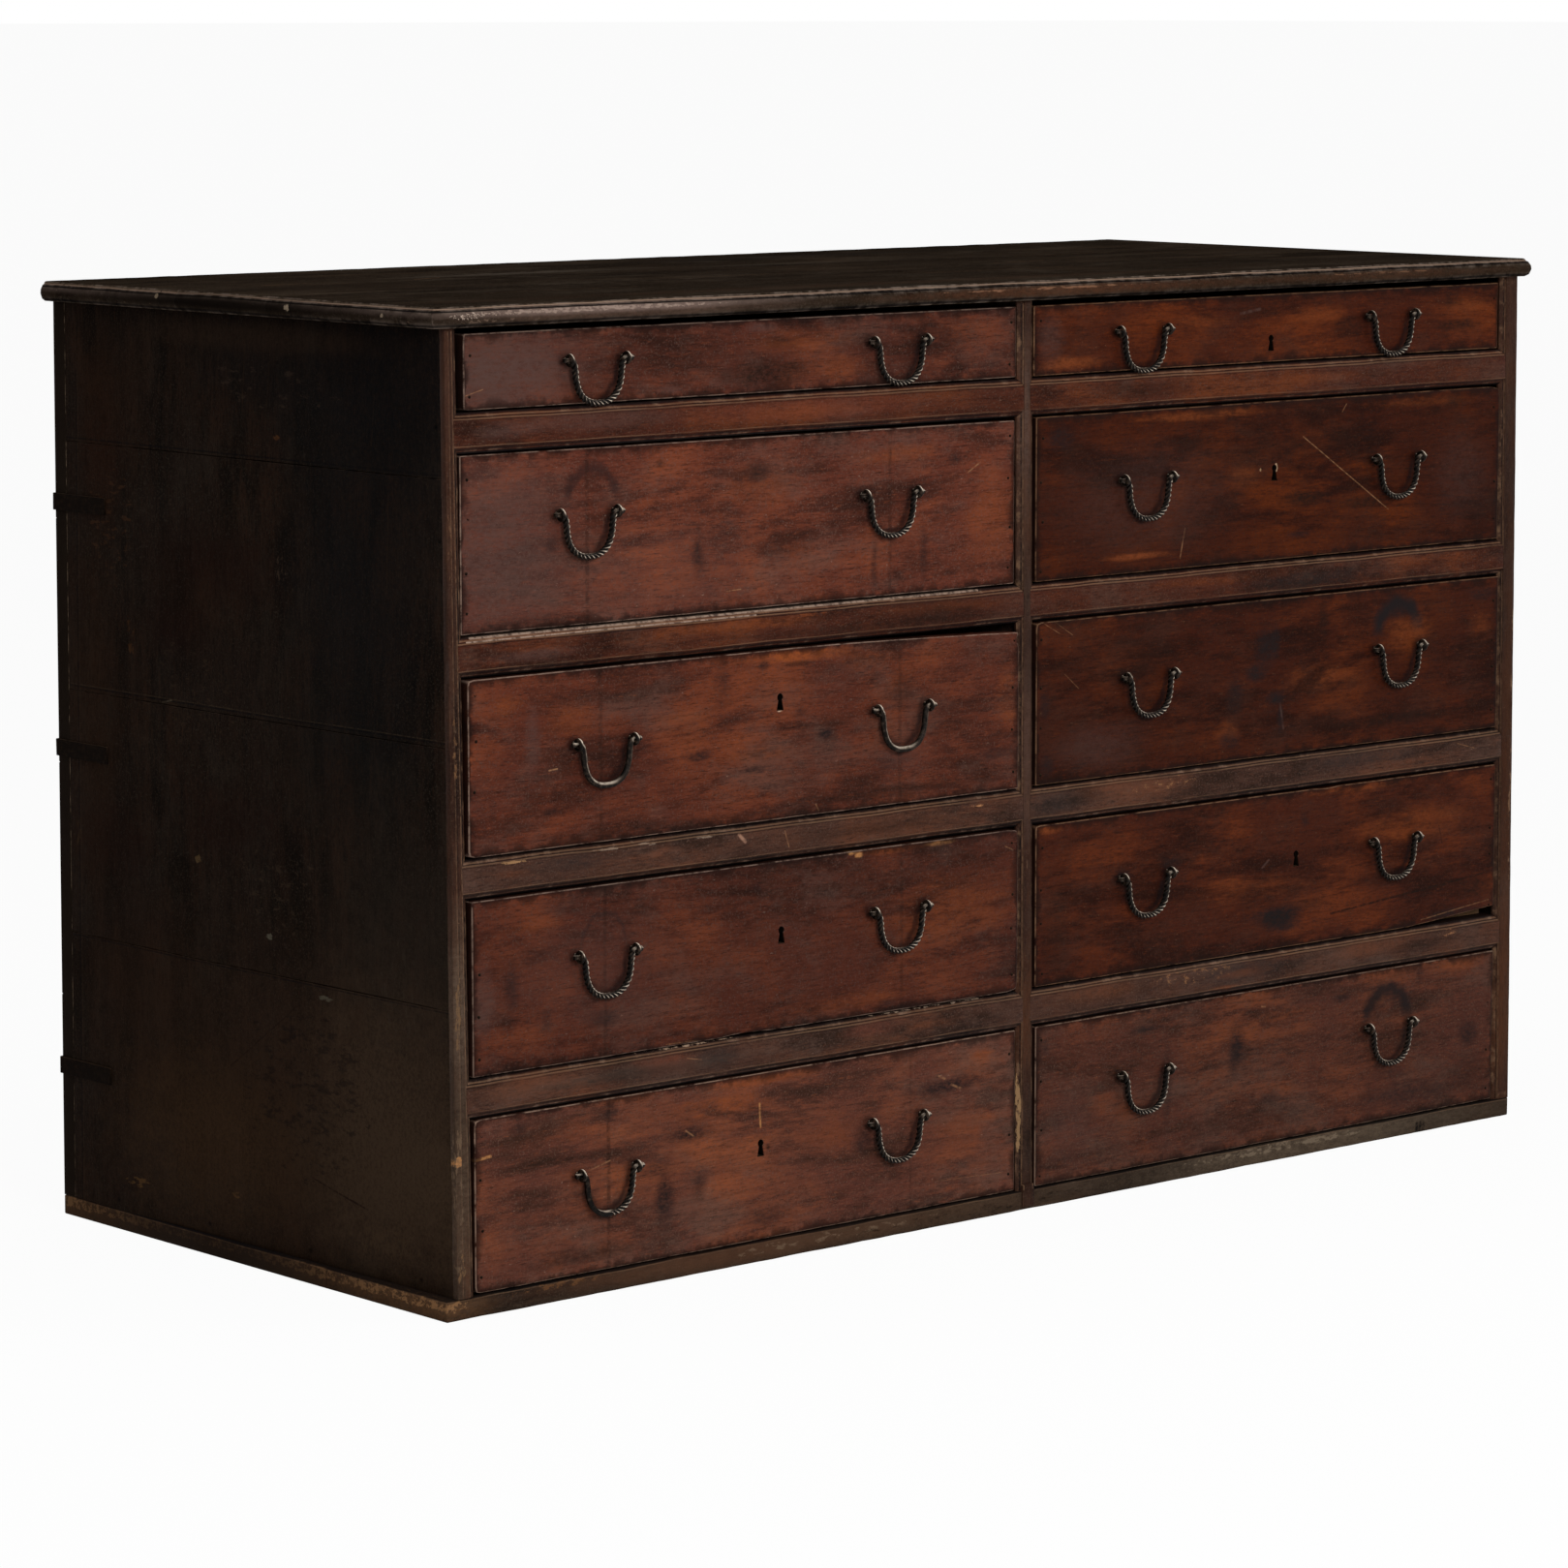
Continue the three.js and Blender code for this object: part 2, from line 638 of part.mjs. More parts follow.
addPiece("bottom_board", bottomBoard(), "caseBoard");
addPiece("left_side_panel", leftSidePanel(), "caseBoard");
addPiece("right_side_panel", rightSidePanel(), "caseBoard");
addPiece("back_panel", backPanel(), "caseBoard");
addPiece("top_plank_front", topPlank(0), "topBoard");
addPiece("top_plank_middle", topPlank(1), "topBoard");
addPiece("top_plank_back", topPlank(2), "topBoard");
addPiece("left_stile", leftStile(), "facing");
addPiece("right_stile", rightStile(), "facing");
addPiece("centre_partition", centrePartition(), "facing");
for (const row of railRows) addPiece(`divider_${row}`, divider(row), "facing");
for (const side of columnNames) {
  strapHeightShares.forEach((share, i) => {
    addPiece(`${side}_corner_strap_${i + 1}`, cornerStrap(side, share * totalHeight), "iron");
  });
}
for (const column of columnNames) {
  for (const row of allRows) {
    const drawer = `${column}_drawer_${row}`;
    addPiece(`${drawer}_front`, drawerFront(column, row), "drawerFront");
    addPiece(`${drawer}_box`, drawerTray(column, row), "innerWood");
    bailPlaces(column, row).forEach((place, i) => {
      const name = `${drawer}_bail_${"ab"[i]}`;
      addPiece(name, bail(name, place), "iron");
    });
  }
}

export default chest;
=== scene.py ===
# Wide chest of ten drawers in two columns: old waxed boards, moulded rails and twisted iron bails.
# Metres, +Z up, the drawers open towards -Y. Places on the chest are given in millimetres of its case:
# x from the left side, y from the front, z from 4 mm above the floor.
import json
import math
import random

import bpy
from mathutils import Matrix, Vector


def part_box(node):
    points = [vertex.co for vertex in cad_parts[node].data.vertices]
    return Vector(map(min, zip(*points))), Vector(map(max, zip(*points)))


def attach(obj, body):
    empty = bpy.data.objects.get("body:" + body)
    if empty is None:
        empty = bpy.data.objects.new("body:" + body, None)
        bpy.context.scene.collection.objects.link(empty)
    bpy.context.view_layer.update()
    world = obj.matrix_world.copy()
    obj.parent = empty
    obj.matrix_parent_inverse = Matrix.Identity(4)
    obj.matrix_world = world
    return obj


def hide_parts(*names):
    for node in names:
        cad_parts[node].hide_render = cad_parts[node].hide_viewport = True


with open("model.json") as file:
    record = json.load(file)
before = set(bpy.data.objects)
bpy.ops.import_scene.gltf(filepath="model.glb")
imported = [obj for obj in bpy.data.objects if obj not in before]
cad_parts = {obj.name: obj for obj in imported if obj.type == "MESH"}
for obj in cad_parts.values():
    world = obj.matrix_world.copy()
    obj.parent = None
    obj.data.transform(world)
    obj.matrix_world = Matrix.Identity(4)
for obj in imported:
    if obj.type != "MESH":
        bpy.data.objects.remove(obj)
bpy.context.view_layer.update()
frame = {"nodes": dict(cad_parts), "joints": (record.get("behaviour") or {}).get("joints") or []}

CASE_MIDDLE = Vector((821.0, 348.05, -4.0))
# Half the length between a bail's eyes, and how far it hangs below them.
HALF_SPAN, BAIL_DROP = 0.0385, 0.046
# Turns of a board's grain, and of a bar that Blender makes upright.
ALONG_X = (0.0, 0.0, 0.0)
ALONG_Y = (0.0, 0.0, math.radians(-90))
ALONG_Z = (0.0, math.radians(90), 0.0)
TO_Y = (math.pi / 2, 0, 0)


def at(x, y, z):
    """A point of the case, as metres of the frame."""
    return (Vector((x, y, z)) - CASE_MIDDLE) / 1000


# ---- hand tools ----


def close_mesh():
    bpy.ops.object.mode_set(mode="OBJECT")


def put_down_all():
    if bpy.context.object and bpy.context.object.mode != "OBJECT":
        close_mesh()
    bpy.ops.object.select_all(action="DESELECT")


def take(piece):
    put_down_all()
    piece.select_set(True)
    bpy.context.view_layer.objects.active = piece


def open_mesh(piece):
    """Edit mode, with the whole mesh selected."""
    take(piece)
    bpy.ops.object.mode_set(mode="EDIT")
    bpy.ops.mesh.select_all(action="SELECT")


def settle(piece):
    """Moves the piece's place, turn and size into its mesh."""
    take(piece)
    bpy.ops.object.transform_apply(location=True, rotation=True, scale=True)


def finish_modifier(piece, kind, **settings):
    """Adds a modifier with these settings and applies it."""
    take(piece)
    modifier = piece.modifiers.new(kind.lower(), kind)
    for key, value in settings.items():
        setattr(modifier, key, value)
    bpy.ops.object.modifier_apply(modifier=modifier.name)


def soften(piece, width, degrees, segments=2):
    """Rounds the edges that turn by more than some degrees."""
    limit = math.radians(degrees)
    finish_modifier(piece, "BEVEL", width=width, segments=segments, limit_method="ANGLE", angle_limit=limit)


def pick(piece, kind, test):
    """Selects the points, edges or faces whose corners all pass the test, and stays in edit mode."""
    take(piece)
    bpy.ops.object.mode_set(mode="EDIT")
    bpy.ops.mesh.select_mode(type={"points": "VERT", "edges": "EDGE", "faces": "FACE"}[kind])
    bpy.ops.mesh.select_all(action="DESELECT")
    close_mesh()
    points = piece.data.vertices
    if kind == "points":
        for point in points:
            point.select = test(point.co)
    else:
        for part in piece.data.edges if kind == "edges" else piece.data.polygons:
            part.select = test(*(points[i].co for i in part.vertices))
    bpy.ops.object.mode_set(mode="EDIT")


def shift(piece, way, test):
    """Moves the points that pass the test."""
    pick(piece, "points", test)
    bpy.ops.transform.translate(value=way)
    close_mesh()


def resize(piece, size, test, centre=(0, 0, 0)):
    """Draws the points that pass the test together, or apart, about a centre."""
    pick(piece, "points", test)
    bpy.ops.transform.resize(value=size, center_override=centre)
    close_mesh()


def cut_strips(piece, axis, cuts):
    """Divides every edge that runs along an axis."""
    others = [i for i in range(3) if i != axis]
    pick(piece, "edges", lambda a, b: all(abs(a[i] - b[i]) < 1e-5 for i in others))
    bpy.ops.mesh.subdivide(number_cuts=cuts)
    close_mesh()


def saw(piece, axis, places):
    """Cuts the skin of the piece at places along an axis, so that it can bend there."""
    normal = Vector([float(i == axis) for i in range(3)])
    open_mesh(piece)
    for place in places:
        bpy.ops.mesh.select_all(action="SELECT")
        bpy.ops.mesh.bisect(plane_co=normal * place, plane_no=normal)
    close_mesh()


def wear(piece, amount, size):
    """Takes the surface out of true by a soft noise, amount and size in metres."""
    grain = bpy.data.textures.new("wear", "CLOUDS")
    grain.noise_scale = size
    grain.noise_depth = 2
    finish_modifier(piece, "DISPLACE", texture=grain, strength=amount, mid_level=0.5, texture_coords="GLOBAL")


def knock(piece, centre, reach, push):
    """Pushes in what lies within reach of a point: a dent, a chip or a worn corner, all in metres."""
    shares = (1.0, 0.72, 0.45)
    for share in shares:
        inside = lambda p: ((p - centre) * Vector([1 / r for r in reach])).length < share
        shift(piece, Vector(push) / len(shares), inside)


def smooth_over(piece, degrees=38):
    take(piece)
    bpy.ops.object.shade_smooth_by_angle(angle=math.radians(degrees))


def give(piece, finish, body, slot, *nodes):
    """The piece gets its material, rides on its body and stands for its CAD nodes."""
    piece.data.materials.clear()
    piece.data.materials.append(finish)
    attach(piece, body)
    if nodes:
        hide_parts(*nodes)


def block(place, size):
    """A cuboid about its middle."""
    bpy.ops.mesh.primitive_cube_add(size=1, location=place, scale=size)
    cuboid = bpy.context.object
    settle(cuboid)
    return cuboid


def rod(sides, radius, length, place=(0, 0, 0), turn=TO_Y):
    """A round bar about its middle, along Y unless it is turned another way."""
    bpy.ops.mesh.primitive_cylinder_add(vertices=sides, radius=radius, depth=length, location=place, rotation=turn)
    bar = bpy.context.object
    settle(bar)
    return bar


def join_up(name, parts):
    put_down_all()
    for part in parts:
        part.select_set(True)
    bpy.context.view_layer.objects.active = parts[0]
    bpy.ops.object.join()
    whole = bpy.context.object
    whole.name = whole.data.name = name
    return whole


def copy_of(piece, place=(0, 0, 0)):
    """A copy with its own mesh, moved to a place."""
    twin = bpy.data.objects.new(piece.name, piece.data.copy())
    bpy.context.scene.collection.objects.link(twin)
    twin.location = place
    settle(twin)
    return twin


# ---- shader tools ----


def add_node(tree, kind, wires=None, **settings):
    """A node with its settings, and with its inputs wired or set by name or number."""
    node = tree.nodes.new(kind)
    for key, value in settings.items():
        setattr(node, key, value)
    for key, value in (wires or {}).items():
        if isinstance(value, bpy.types.NodeSocket):
            tree.links.new(value, node.inputs[key])
        else:
            node.inputs[key].default_value = value
    return node


def calc(tree, operation, a, b=0.0, clamp=False):
    return add_node(tree, "ShaderNodeMath", {0: a, 1: b}, operation=operation, use_clamp=clamp).outputs[0]


def times(tree, a, b):
    return calc(tree, "MULTIPLY", a, b)


def move(tree, operation, a, b):
    return add_node(tree, "ShaderNodeVectorMath", {0: a, 1: b}, operation=operation).outputs[0]


def stretch(tree, vector, shares):
    return move(tree, "MULTIPLY", vector, shares)


def scaled(tree, vector, share):
    return add_node(tree, "ShaderNodeVectorMath", {0: vector, "Scale": share}, operation="SCALE").outputs[0]


def measure(tree, operation, a, b=(0, 0, 0)):
    return add_node(tree, "ShaderNodeVectorMath", {0: a, 1: b}, operation=operation).outputs["Value"]


def axes(tree, vector):
    return add_node(tree, "ShaderNodeSeparateXYZ", {0: vector}).outputs


def ease(tree, value, low, high, to_low=0.0, to_high=1.0):
    wires = {"Value": value, "From Min": low, "From Max": high, "To Min": to_low, "To Max": to_high}
    return add_node(tree, "ShaderNodeMapRange", wires, interpolation_type="SMOOTHSTEP").outputs[0]


def tint(tree, share, a, b):
    """Colour a, with a share of colour b in it."""
    return add_node(tree, "ShaderNodeMix", {0: share, 6: a, 7: b}, data_type="RGBA", clamp_factor=True).outputs[2]


def noise(tree, vector, scale, detail=2.0, roughness=0.5, output="Fac"):
    wires = {"Vector": vector, "Scale": scale, "Detail": detail, "Roughness": roughness}
    return add_node(tree, "ShaderNodeTexNoise", wires).outputs[output]


def wander(tree, vector, scale, detail=2.0, roughness=0.5):
    """Noise that points every way about zero, to bend a pattern with."""
    return move(tree, "SUBTRACT", noise(tree, vector, scale, detail, roughness, "Color"), (0.5, 0.5, 0.5))


def colour(red, green, blue):
    """A colour written as the eye sees it, 0 to 255, as the shader's linear value."""
    linear = [(c / 255 / 12.92) if c <= 10 else ((c / 255 + 0.055) / 1.055) ** 2.4 for c in (red, green, blue)]
    return (*linear, 1.0)


def start_group(name, inputs, outputs=("Mask",)):
    """A new node group: its tree, what it is given and what it puts out."""
    tree = bpy.data.node_groups.new(name, "ShaderNodeTree")
    for label, value in inputs.items():
        kind = "NodeSocketVector" if isinstance(value, tuple) else "NodeSocketFloat"
        socket = tree.interface.new_socket(label, in_out="INPUT", socket_type=kind)
        socket.default_value = value
    for label in outputs:
        tree.interface.new_socket(label, in_out="OUTPUT", socket_type="NodeSocketFloat")
    return tree, tree.nodes.new("NodeGroupInput").outputs, tree.nodes.new("NodeGroupOutput").inputs


def use_group(tree, group, **wires):
    return add_node(tree, "ShaderNodeGroup", wires, node_tree=group).outputs


ORIGIN, UNIT = (0.0, 0.0, 0.0), (1.0, 1.0, 1.0)
FRONT_FLAT = (1.0, 0.0, 1.0)
OVAL = {"Vector": ORIGIN, "Centre": ORIGIN, "Size": UNIT, "Flat": FRONT_FLAT}


def build_wood_grain():
    """Figure, fibres and pores of a board whose grain runs along X of the vector."""
    inputs = {"Vector": ORIGIN, "Seed": 0.0, "Figure Size": 22.0, "Waviness": 0.06}
    tree, given, out = start_group("wood grain", inputs, ("Figure", "Fibre", "Pores", "Clouds", "Ash", "Lines"))
    place = move(tree, "ADD", given["Vector"], scaled(tree, (17.3, 5.1, 9.7), given["Seed"]))
    drawn = stretch(tree, place, (0.24, 1.0, 1.0))
    bent = move(tree, "ADD", drawn, scaled(tree, wander(tree, drawn, 7.0), given["Waviness"]))
    tree.links.new(noise(tree, bent, given["Figure Size"], 10.0, 0.7), out["Figure"])
    wires = {
        "Vector": stretch(tree, bent, (0.4, 1.0, 1.0)), "Scale": 24.0, "Distortion": 8.0, "Detail": 3.0,
        "Detail Scale": 1.6,
    }
    wave = add_node(tree, "ShaderNodeTexWave", wires, bands_direction="Z")
    tree.links.new(wave.outputs["Fac"], out["Lines"])
    threads = noise(tree, stretch(tree, place, (0.1, 1.0, 1.0)), 460.0, 4.0, 0.75)
    flecks = noise(tree, stretch(tree, place, (0.4, 1.0, 1.0)), 330.0, 5.0, 0.8)
    tree.links.new(calc(tree, "ADD", times(tree, threads, 0.45), times(tree, flecks, 0.55)), out["Fibre"])
    pores = noise(tree, stretch(tree, place, (0.09, 1.0, 1.0)), 800.0)
    tree.links.new(ease(tree, pores, 0.6, 0.72), out["Pores"])
    tree.links.new(noise(tree, place, 6.0, 3.0, 0.55), out["Clouds"])
    haze = move(tree, "ADD", stretch(tree, place, (0.55, 1.0, 1.0)), (3.1, 7.7, 1.9))
    tree.links.new(noise(tree, haze, 14.0, 10.0, 0.74), out["Ash"])
    return tree


def build_worn_and_lit_edges():
    """Finds rounded edges and mouldings by how far the surface turns from the case's flat faces; the mask stands for
    their wear and for a painted highlight along them.
    """
    inputs = {"Normal": (0.0, 0.0, 1.0), "Vector": ORIGIN, "Breakup": 0.5, "Scale": 60.0}
    tree, given, out = start_group("worn and lit edges", inputs)
    parts = axes(tree, add_node(tree, "ShaderNodeVectorMath", {0: given["Normal"]}, operation="ABSOLUTE").outputs[0])
    flat = calc(tree, "MAXIMUM", calc(tree, "MAXIMUM", parts[0], parts[1]), parts[2])
    speck = noise(tree, given["Vector"], given["Scale"], 5.0, 0.7)
    low, high = (calc(tree, way, given["Breakup"], 0.12) for way in ("SUBTRACT", "ADD"))
    tree.links.new(times(tree, ease(tree, flat, 0.985, 0.84), ease(tree, speck, low, high)), out["Mask"])
    return tree


def from_centre(tree, given):
    """How far the place lies from the oval's middle, in its half sizes."""
    return move(tree, "DIVIDE", move(tree, "SUBTRACT", given["Vector"], given["Centre"]), given["Size"])


def build_soft_mark():
    """An oval stain, glow, worn place, painted sheen, painted highlight or painted shade with a ragged rim; Flat names
    the axes of the face it lies on.
    """
    tree, given, out = start_group("soft mark", {**OVAL, "Ragged": 0.5, "Mottle": 0.45})
    rough = wander(tree, stretch(tree, given["Vector"], (0.35, 0.6, 1.0)), 48.0, 9.0, 0.78)
    away = move(tree, "ADD", from_centre(tree, given), scaled(tree, rough, given["Ragged"]))
    far = measure(tree, "LENGTH", stretch(tree, away, given["Flat"]))
    speck = noise(tree, stretch(tree, given["Vector"], (0.5, 1.0, 1.0)), 240.0, 5.0, 0.78)
    mottle = ease(tree, speck, 0.38, 0.6, given["Mottle"], 1.0)
    tree.links.new(times(tree, ease(tree, far, 1.0, 0.15), mottle), out["Mask"])
    return tree


def build_bail_rub_and_shadow():
    """The dark arc that a bail has rubbed on the face above its eyes; where Turn is -1, a painted shadow of the bail,
    with grime, on the face below them.
    """
    tree, given, out = start_group("swing mark", {**OVAL, "Breadth": 0.2, "Turn": 1.0})
    away = from_centre(tree, given)
    rough = stretch(tree, wander(tree, given["Vector"], 70.0, 3.0), (0.35, 0, 0.35))
    far = measure(tree, "LENGTH", stretch(tree, move(tree, "ADD", away, rough), given["Flat"]))
    off = calc(tree, "DIVIDE", calc(tree, "ABSOLUTE", calc(tree, "SUBTRACT", far, 1.0)), given["Breadth"])
    above = ease(tree, times(tree, axes(tree, away)[2], given["Turn"]), -0.15, 0.35)
    tree.links.new(times(tree, ease(tree, off, 1.0, 0.1), above), out["Mask"])
    return tree


def build_fine_line():
    """A fine line between two points of a face, fading where the surface is rough."""
    inputs = {"Vector": ORIGIN, "Start": ORIGIN, "End": (1.0, 0.0, 0.0), "Width": 0.001, "Flat": FRONT_FLAT}
    tree, given, out = start_group("fine_line", inputs)
    run, here = (
        stretch(tree, move(tree, "SUBTRACT", given[end], given["Start"]), given["Flat"]) for end in ("End", "Vector")
    )
    share = calc(tree, "DIVIDE", measure(tree, "DOT_PRODUCT", here, run), measure(tree, "DOT_PRODUCT", run, run), True)
    off = measure(tree, "LENGTH", move(tree, "SUBTRACT", here, scaled(tree, run, share)))
    line = ease(tree, calc(tree, "DIVIDE", off, given["Width"]), 1.0, 0.3)
    broken_share = ease(tree, noise(tree, given["Vector"], 160.0, 3.0, 0.6), 0.35, 0.6, 0.25, 1.0)
    tree.links.new(times(tree, line, broken_share), out["Mask"])
    return tree


def build_broken_patch():
    """A crisp, broken patch inside an oval: chipped paint, a painted gloss highlight or a scab of dirt."""
    tree, given, out = start_group("broken patch", {**OVAL, "Grain": (0.3, 1.0, 1.0), "Fill": 0.5})
    far = measure(tree, "LENGTH", stretch(tree, from_centre(tree, given), given["Flat"]))
    inside = times(tree, ease(tree, far, 1.0, 0.2, -1.0, 0.0), 0.5)
    speck = noise(tree, stretch(tree, given["Vector"], given["Grain"]), 120.0, 8.0, 0.72)
    level = calc(tree, "ADD", calc(tree, "ADD", speck, inside), times(tree, given["Fill"], 0.3))
    tree.links.new(ease(tree, level, 0.63, 0.69), out["Mask"])
    return tree


def build_ledge_line():
    """A line all along a piece at one height: a painted highlight on the arris of a moulding, or painted shade in a gap
    or hollow.
    """
    inputs = {"Vector": ORIGIN, "Height": 0.0, "Width": 0.001, "Breakup": 0.45}
    tree, given, out = start_group("ledge line", inputs)
    speck = noise(tree, stretch(tree, given["Vector"], (0.12, 1.0, 0.3)), 70.0, 7.0, 0.7)
    sway = times(tree, calc(tree, "SUBTRACT", noise(tree, given["Vector"], 9.0), 0.5), 0.003)
    height = calc(tree, "ADD", axes(tree, given["Vector"])[2], sway)
    off = calc(tree, "ABSOLUTE", calc(tree, "SUBTRACT", height, given["Height"]))
    line = ease(tree, calc(tree, "DIVIDE", off, given["Width"]), 1.0, 0.35)
    low, high = (calc(tree, way, given["Breakup"], 0.1) for way in ("SUBTRACT", "ADD"))
    tree.links.new(times(tree, line, ease(tree, speck, low, high, 0.3, 1.0)), out["Mask"])
    return tree


def build_rim_grime_and_shade():
    """Darkening along the rim of a front, between two corners of its XZ box: grime, and painted shade where the front
    sits in its opening.
    """
    inputs = {"Vector": ORIGIN, "Low": ORIGIN, "High": UNIT, "Reach": 0.012}
    tree, given, out = start_group("rim grime and shade", inputs)
    from_low = axes(tree, move(tree, "SUBTRACT", given["Vector"], given["Low"]))
    from_high = axes(tree, move(tree, "SUBTRACT", given["High"], given["Vector"]))
    across, upward = (calc(tree, "MINIMUM", from_low[axis], from_high[axis]) for axis in (0, 2))
    rough = noise(tree, given["Vector"], 45.0, 4.0, 0.65)
    reach = times(tree, given["Reach"], ease(tree, rough, 0.3, 0.7, 0.2, 2.0))
    near = calc(tree, "DIVIDE", calc(tree, "MINIMUM", across, upward), reach)
    tree.links.new(ease(tree, near, 1.0, 0.0), out["Mask"])
    return tree


wood_grain = build_wood_grain()
rim_grime_and_shade = build_rim_grime_and_shade()
worn_and_lit_edges = build_worn_and_lit_edges()
soft_mark = build_soft_mark()
bail_rub_and_shadow = build_bail_rub_and_shadow()
fine_line = build_fine_line()
ledge_line = build_ledge_line()
broken_patch = build_broken_patch()


def start_finish(name):
    """A new material: itself, its tree, its shader and its coordinates."""
    finish = bpy.data.materials.new(name)
    finish.use_nodes = True
    tree = finish.node_tree
    return finish, tree, tree.nodes["Principled BSDF"], add_node(tree, "ShaderNodeTexCoord").outputs


def old_wood(
    name, tones, grain_turn=ALONG_X, seed=0.0, marks=(), gloss=(0.34, 0.55), rub=0.55, specular=0.02, contrast=1.0,
    edge_first=False,
):
    """Old waxed board. tones: dark, middle, warm, ashen, rubbed (also the painted highlight of its edges). marks:
    (kind, colour, strength, values).
    """
    finish, tree, shader, where = start_finish(name)
    turned = add_node(tree, "ShaderNodeMapping", {"Vector": where["Object"], "Rotation": grain_turn}).outputs[0]
    grain = use_group(tree, wood_grain, Vector=turned, Seed=seed)
    dark, middle, warm, ashen, rub_and_highlight = tones
    tone = tint(tree, ease(tree, grain["Figure"], 0.34, 0.54, 0.1, 1.0), dark, middle)
    lit = times(tree, ease(tree, grain["Clouds"], 0.42, 0.66), ease(tree, grain["Figure"], 0.42, 0.62))
    dust = noise(tree, where["Object"], 420.0, 3.0, 0.7)
    specks = noise(tree, stretch(tree, where["Object"], (0.45, 1.0, 1.0)), 300.0, 4.0, 0.8)
    for share, other in (
        (times(tree, lit, 0.7), warm),
        (ease(tree, grain["Ash"], 0.47, 0.68, 0.0, 0.55), ashen),
        (ease(tree, grain["Lines"], 0.3, 0.0, 0.0, 0.18 * contrast), dark),
        (ease(tree, grain["Fibre"], 0.48, 0.62, 0.0, 0.5 * contrast), dark),
        (ease(tree, dust, 0.53, 0.66, 0.0, 0.6 * contrast), ashen),
        (times(tree, ease(tree, specks, 0.64, 0.74), 0.6 * contrast), rub_and_highlight),
        (ease(tree, grain["Fibre"], 0.47, 0.36, 0.0, 0.35 * contrast), warm),
        (times(tree, grain["Pores"], 0.5), colour(16, 10, 8)),
    ):
        tone = tint(tree, share, tone, other)
    # Rounded edges and moulding slopes take the rubbed tone: wear, and a painted highlight.
    edge = use_group(tree, worn_and_lit_edges, Normal=where["Normal"], Vector=where["Object"], Breakup=rub)["Mask"]
    edge = times(tree, edge, 0.75)
    if edge_first:
        tone = tint(tree, edge, tone, rub_and_highlight)
    for kind, shade, strength, values in marks:
        mask = use_group(tree, kind, Vector=where["Object"], **values)["Mask"]
        if shade is EMBER:
            mask = times(tree, mask, ease(tree, grain["Figure"], 0.38, 0.56, 0.12, 1.0))
        tone = tint(tree, times(tree, mask, strength), tone, shade)
    if not edge_first:
        tone = tint(tree, edge, tone, rub_and_highlight)
    tree.links.new(tone, shader.inputs["Base Color"])
    dull = calc(tree, "ADD", times(tree, grain["Clouds"], 0.5), times(tree, grain["Fibre"], 0.5))
    tree.links.new(ease(tree, dull, 0.35, 0.65, gloss[0], gloss[1]), shader.inputs["Roughness"])
    shader.inputs["Specular IOR Level"].default_value = specular
    relief = calc(tree, "SUBTRACT", grain["Fibre"], times(tree, grain["Pores"], 0.8))
    relief = calc(tree, "ADD", relief, times(tree, grain["Clouds"], 1.5))
    bump = add_node(tree, "ShaderNodeBump", {"Height": relief, "Strength": 0.4, "Distance": 0.0006})
    tree.links.new(bump.outputs[0], shader.inputs["Normal"])
    return finish


def black_iron(name, dull, lit, rub_and_highlight, share, gloss=(0.3, 0.5), specular=0.06, ridged=False):
    """Forged iron: dull in its hollows and between its ridges; its sides that face up, forward and to the right get
    painted light and a painted highlight, broken into patches.
    """
    finish, tree, shader, where = start_finish(name)
    patch = noise(tree, where["Object"], 190.0, 5.0, 0.65)
    pits = noise(tree, where["Object"], 1300.0, 3.0, 0.6)
    # Painted light: how much each surface faces up, forward and to the right, whatever the lamps.
    faces_light = measure(tree, "DOT_PRODUCT", where["Normal"], (0.5, -0.42, 0.757))
    tone = tint(tree, ease(tree, patch, 0.45, 0.7, 0.0, 0.5), dull, lit)
    tone = tint(tree, ease(tree, faces_light, 0.3, 0.85), tone, lit)
    broken_share = times(tree, ease(tree, faces_light, 0.5, 0.86), ease(tree, patch, 0.36, 0.52, 0.2, 1.0))
    if ridged:
        ridge = add_node(tree, "ShaderNodeAttribute", attribute_name="ridge").outputs["Fac"]
        tone = tint(tree, ease(tree, ridge, 0.2, 0.9), dull, tone)
        broken_share = times(tree, broken_share, ease(tree, ridge, 0.3, 0.9))
    tone = tint(tree, times(tree, broken_share, share), tone, rub_and_highlight)
    tree.links.new(tone, shader.inputs["Base Color"])
    tree.links.new(ease(tree, pits, 0.3, 0.7, gloss[0], gloss[1]), shader.inputs["Roughness"])
    shader.inputs["Specular IOR Level"].default_value = specular
    relief = calc(tree, "ADD", pits, patch)
    bump = add_node(tree, "ShaderNodeBump", {"Height": relief, "Strength": 0.5, "Distance": 0.0003})
    tree.links.new(bump.outputs[0], shader.inputs["Normal"])
    return finish


# ---- marks: places and sizes in millimetres of the case ----

# Dark brown: stains and scribe lines, and painted shade in mouldings and low on the rail faces.
SOOT_AND_SHADE = colour(26, 17, 13)
BLUE_BLACK = colour(30, 24, 24)
EMBER = colour(132, 68, 34)
# Greyish: grey blots, and painted sheen on the fronts and rails.
GREY_BLOT_AND_SHEEN = colour(82, 60, 54)
PALE = colour(150, 108, 76)
CHIP = colour(186, 130, 80)
RED_BROWN = colour(30, 16, 12)
UMBER = colour(54, 40, 28)
# Near black: joints, holes and gouges, and painted shade in gaps, under the nosing and round the bails.
INK_AND_SHADE = colour(12, 11, 12)
LIT_EDGE = colour(124, 95, 72)
WARM_RAIL = colour(104, 62, 42)
COLD_RAIL = colour(38, 35, 34)

# The two axes of each face.
FRONT, SIDE, TOP = (0, 2), (1, 2), (0, 1)
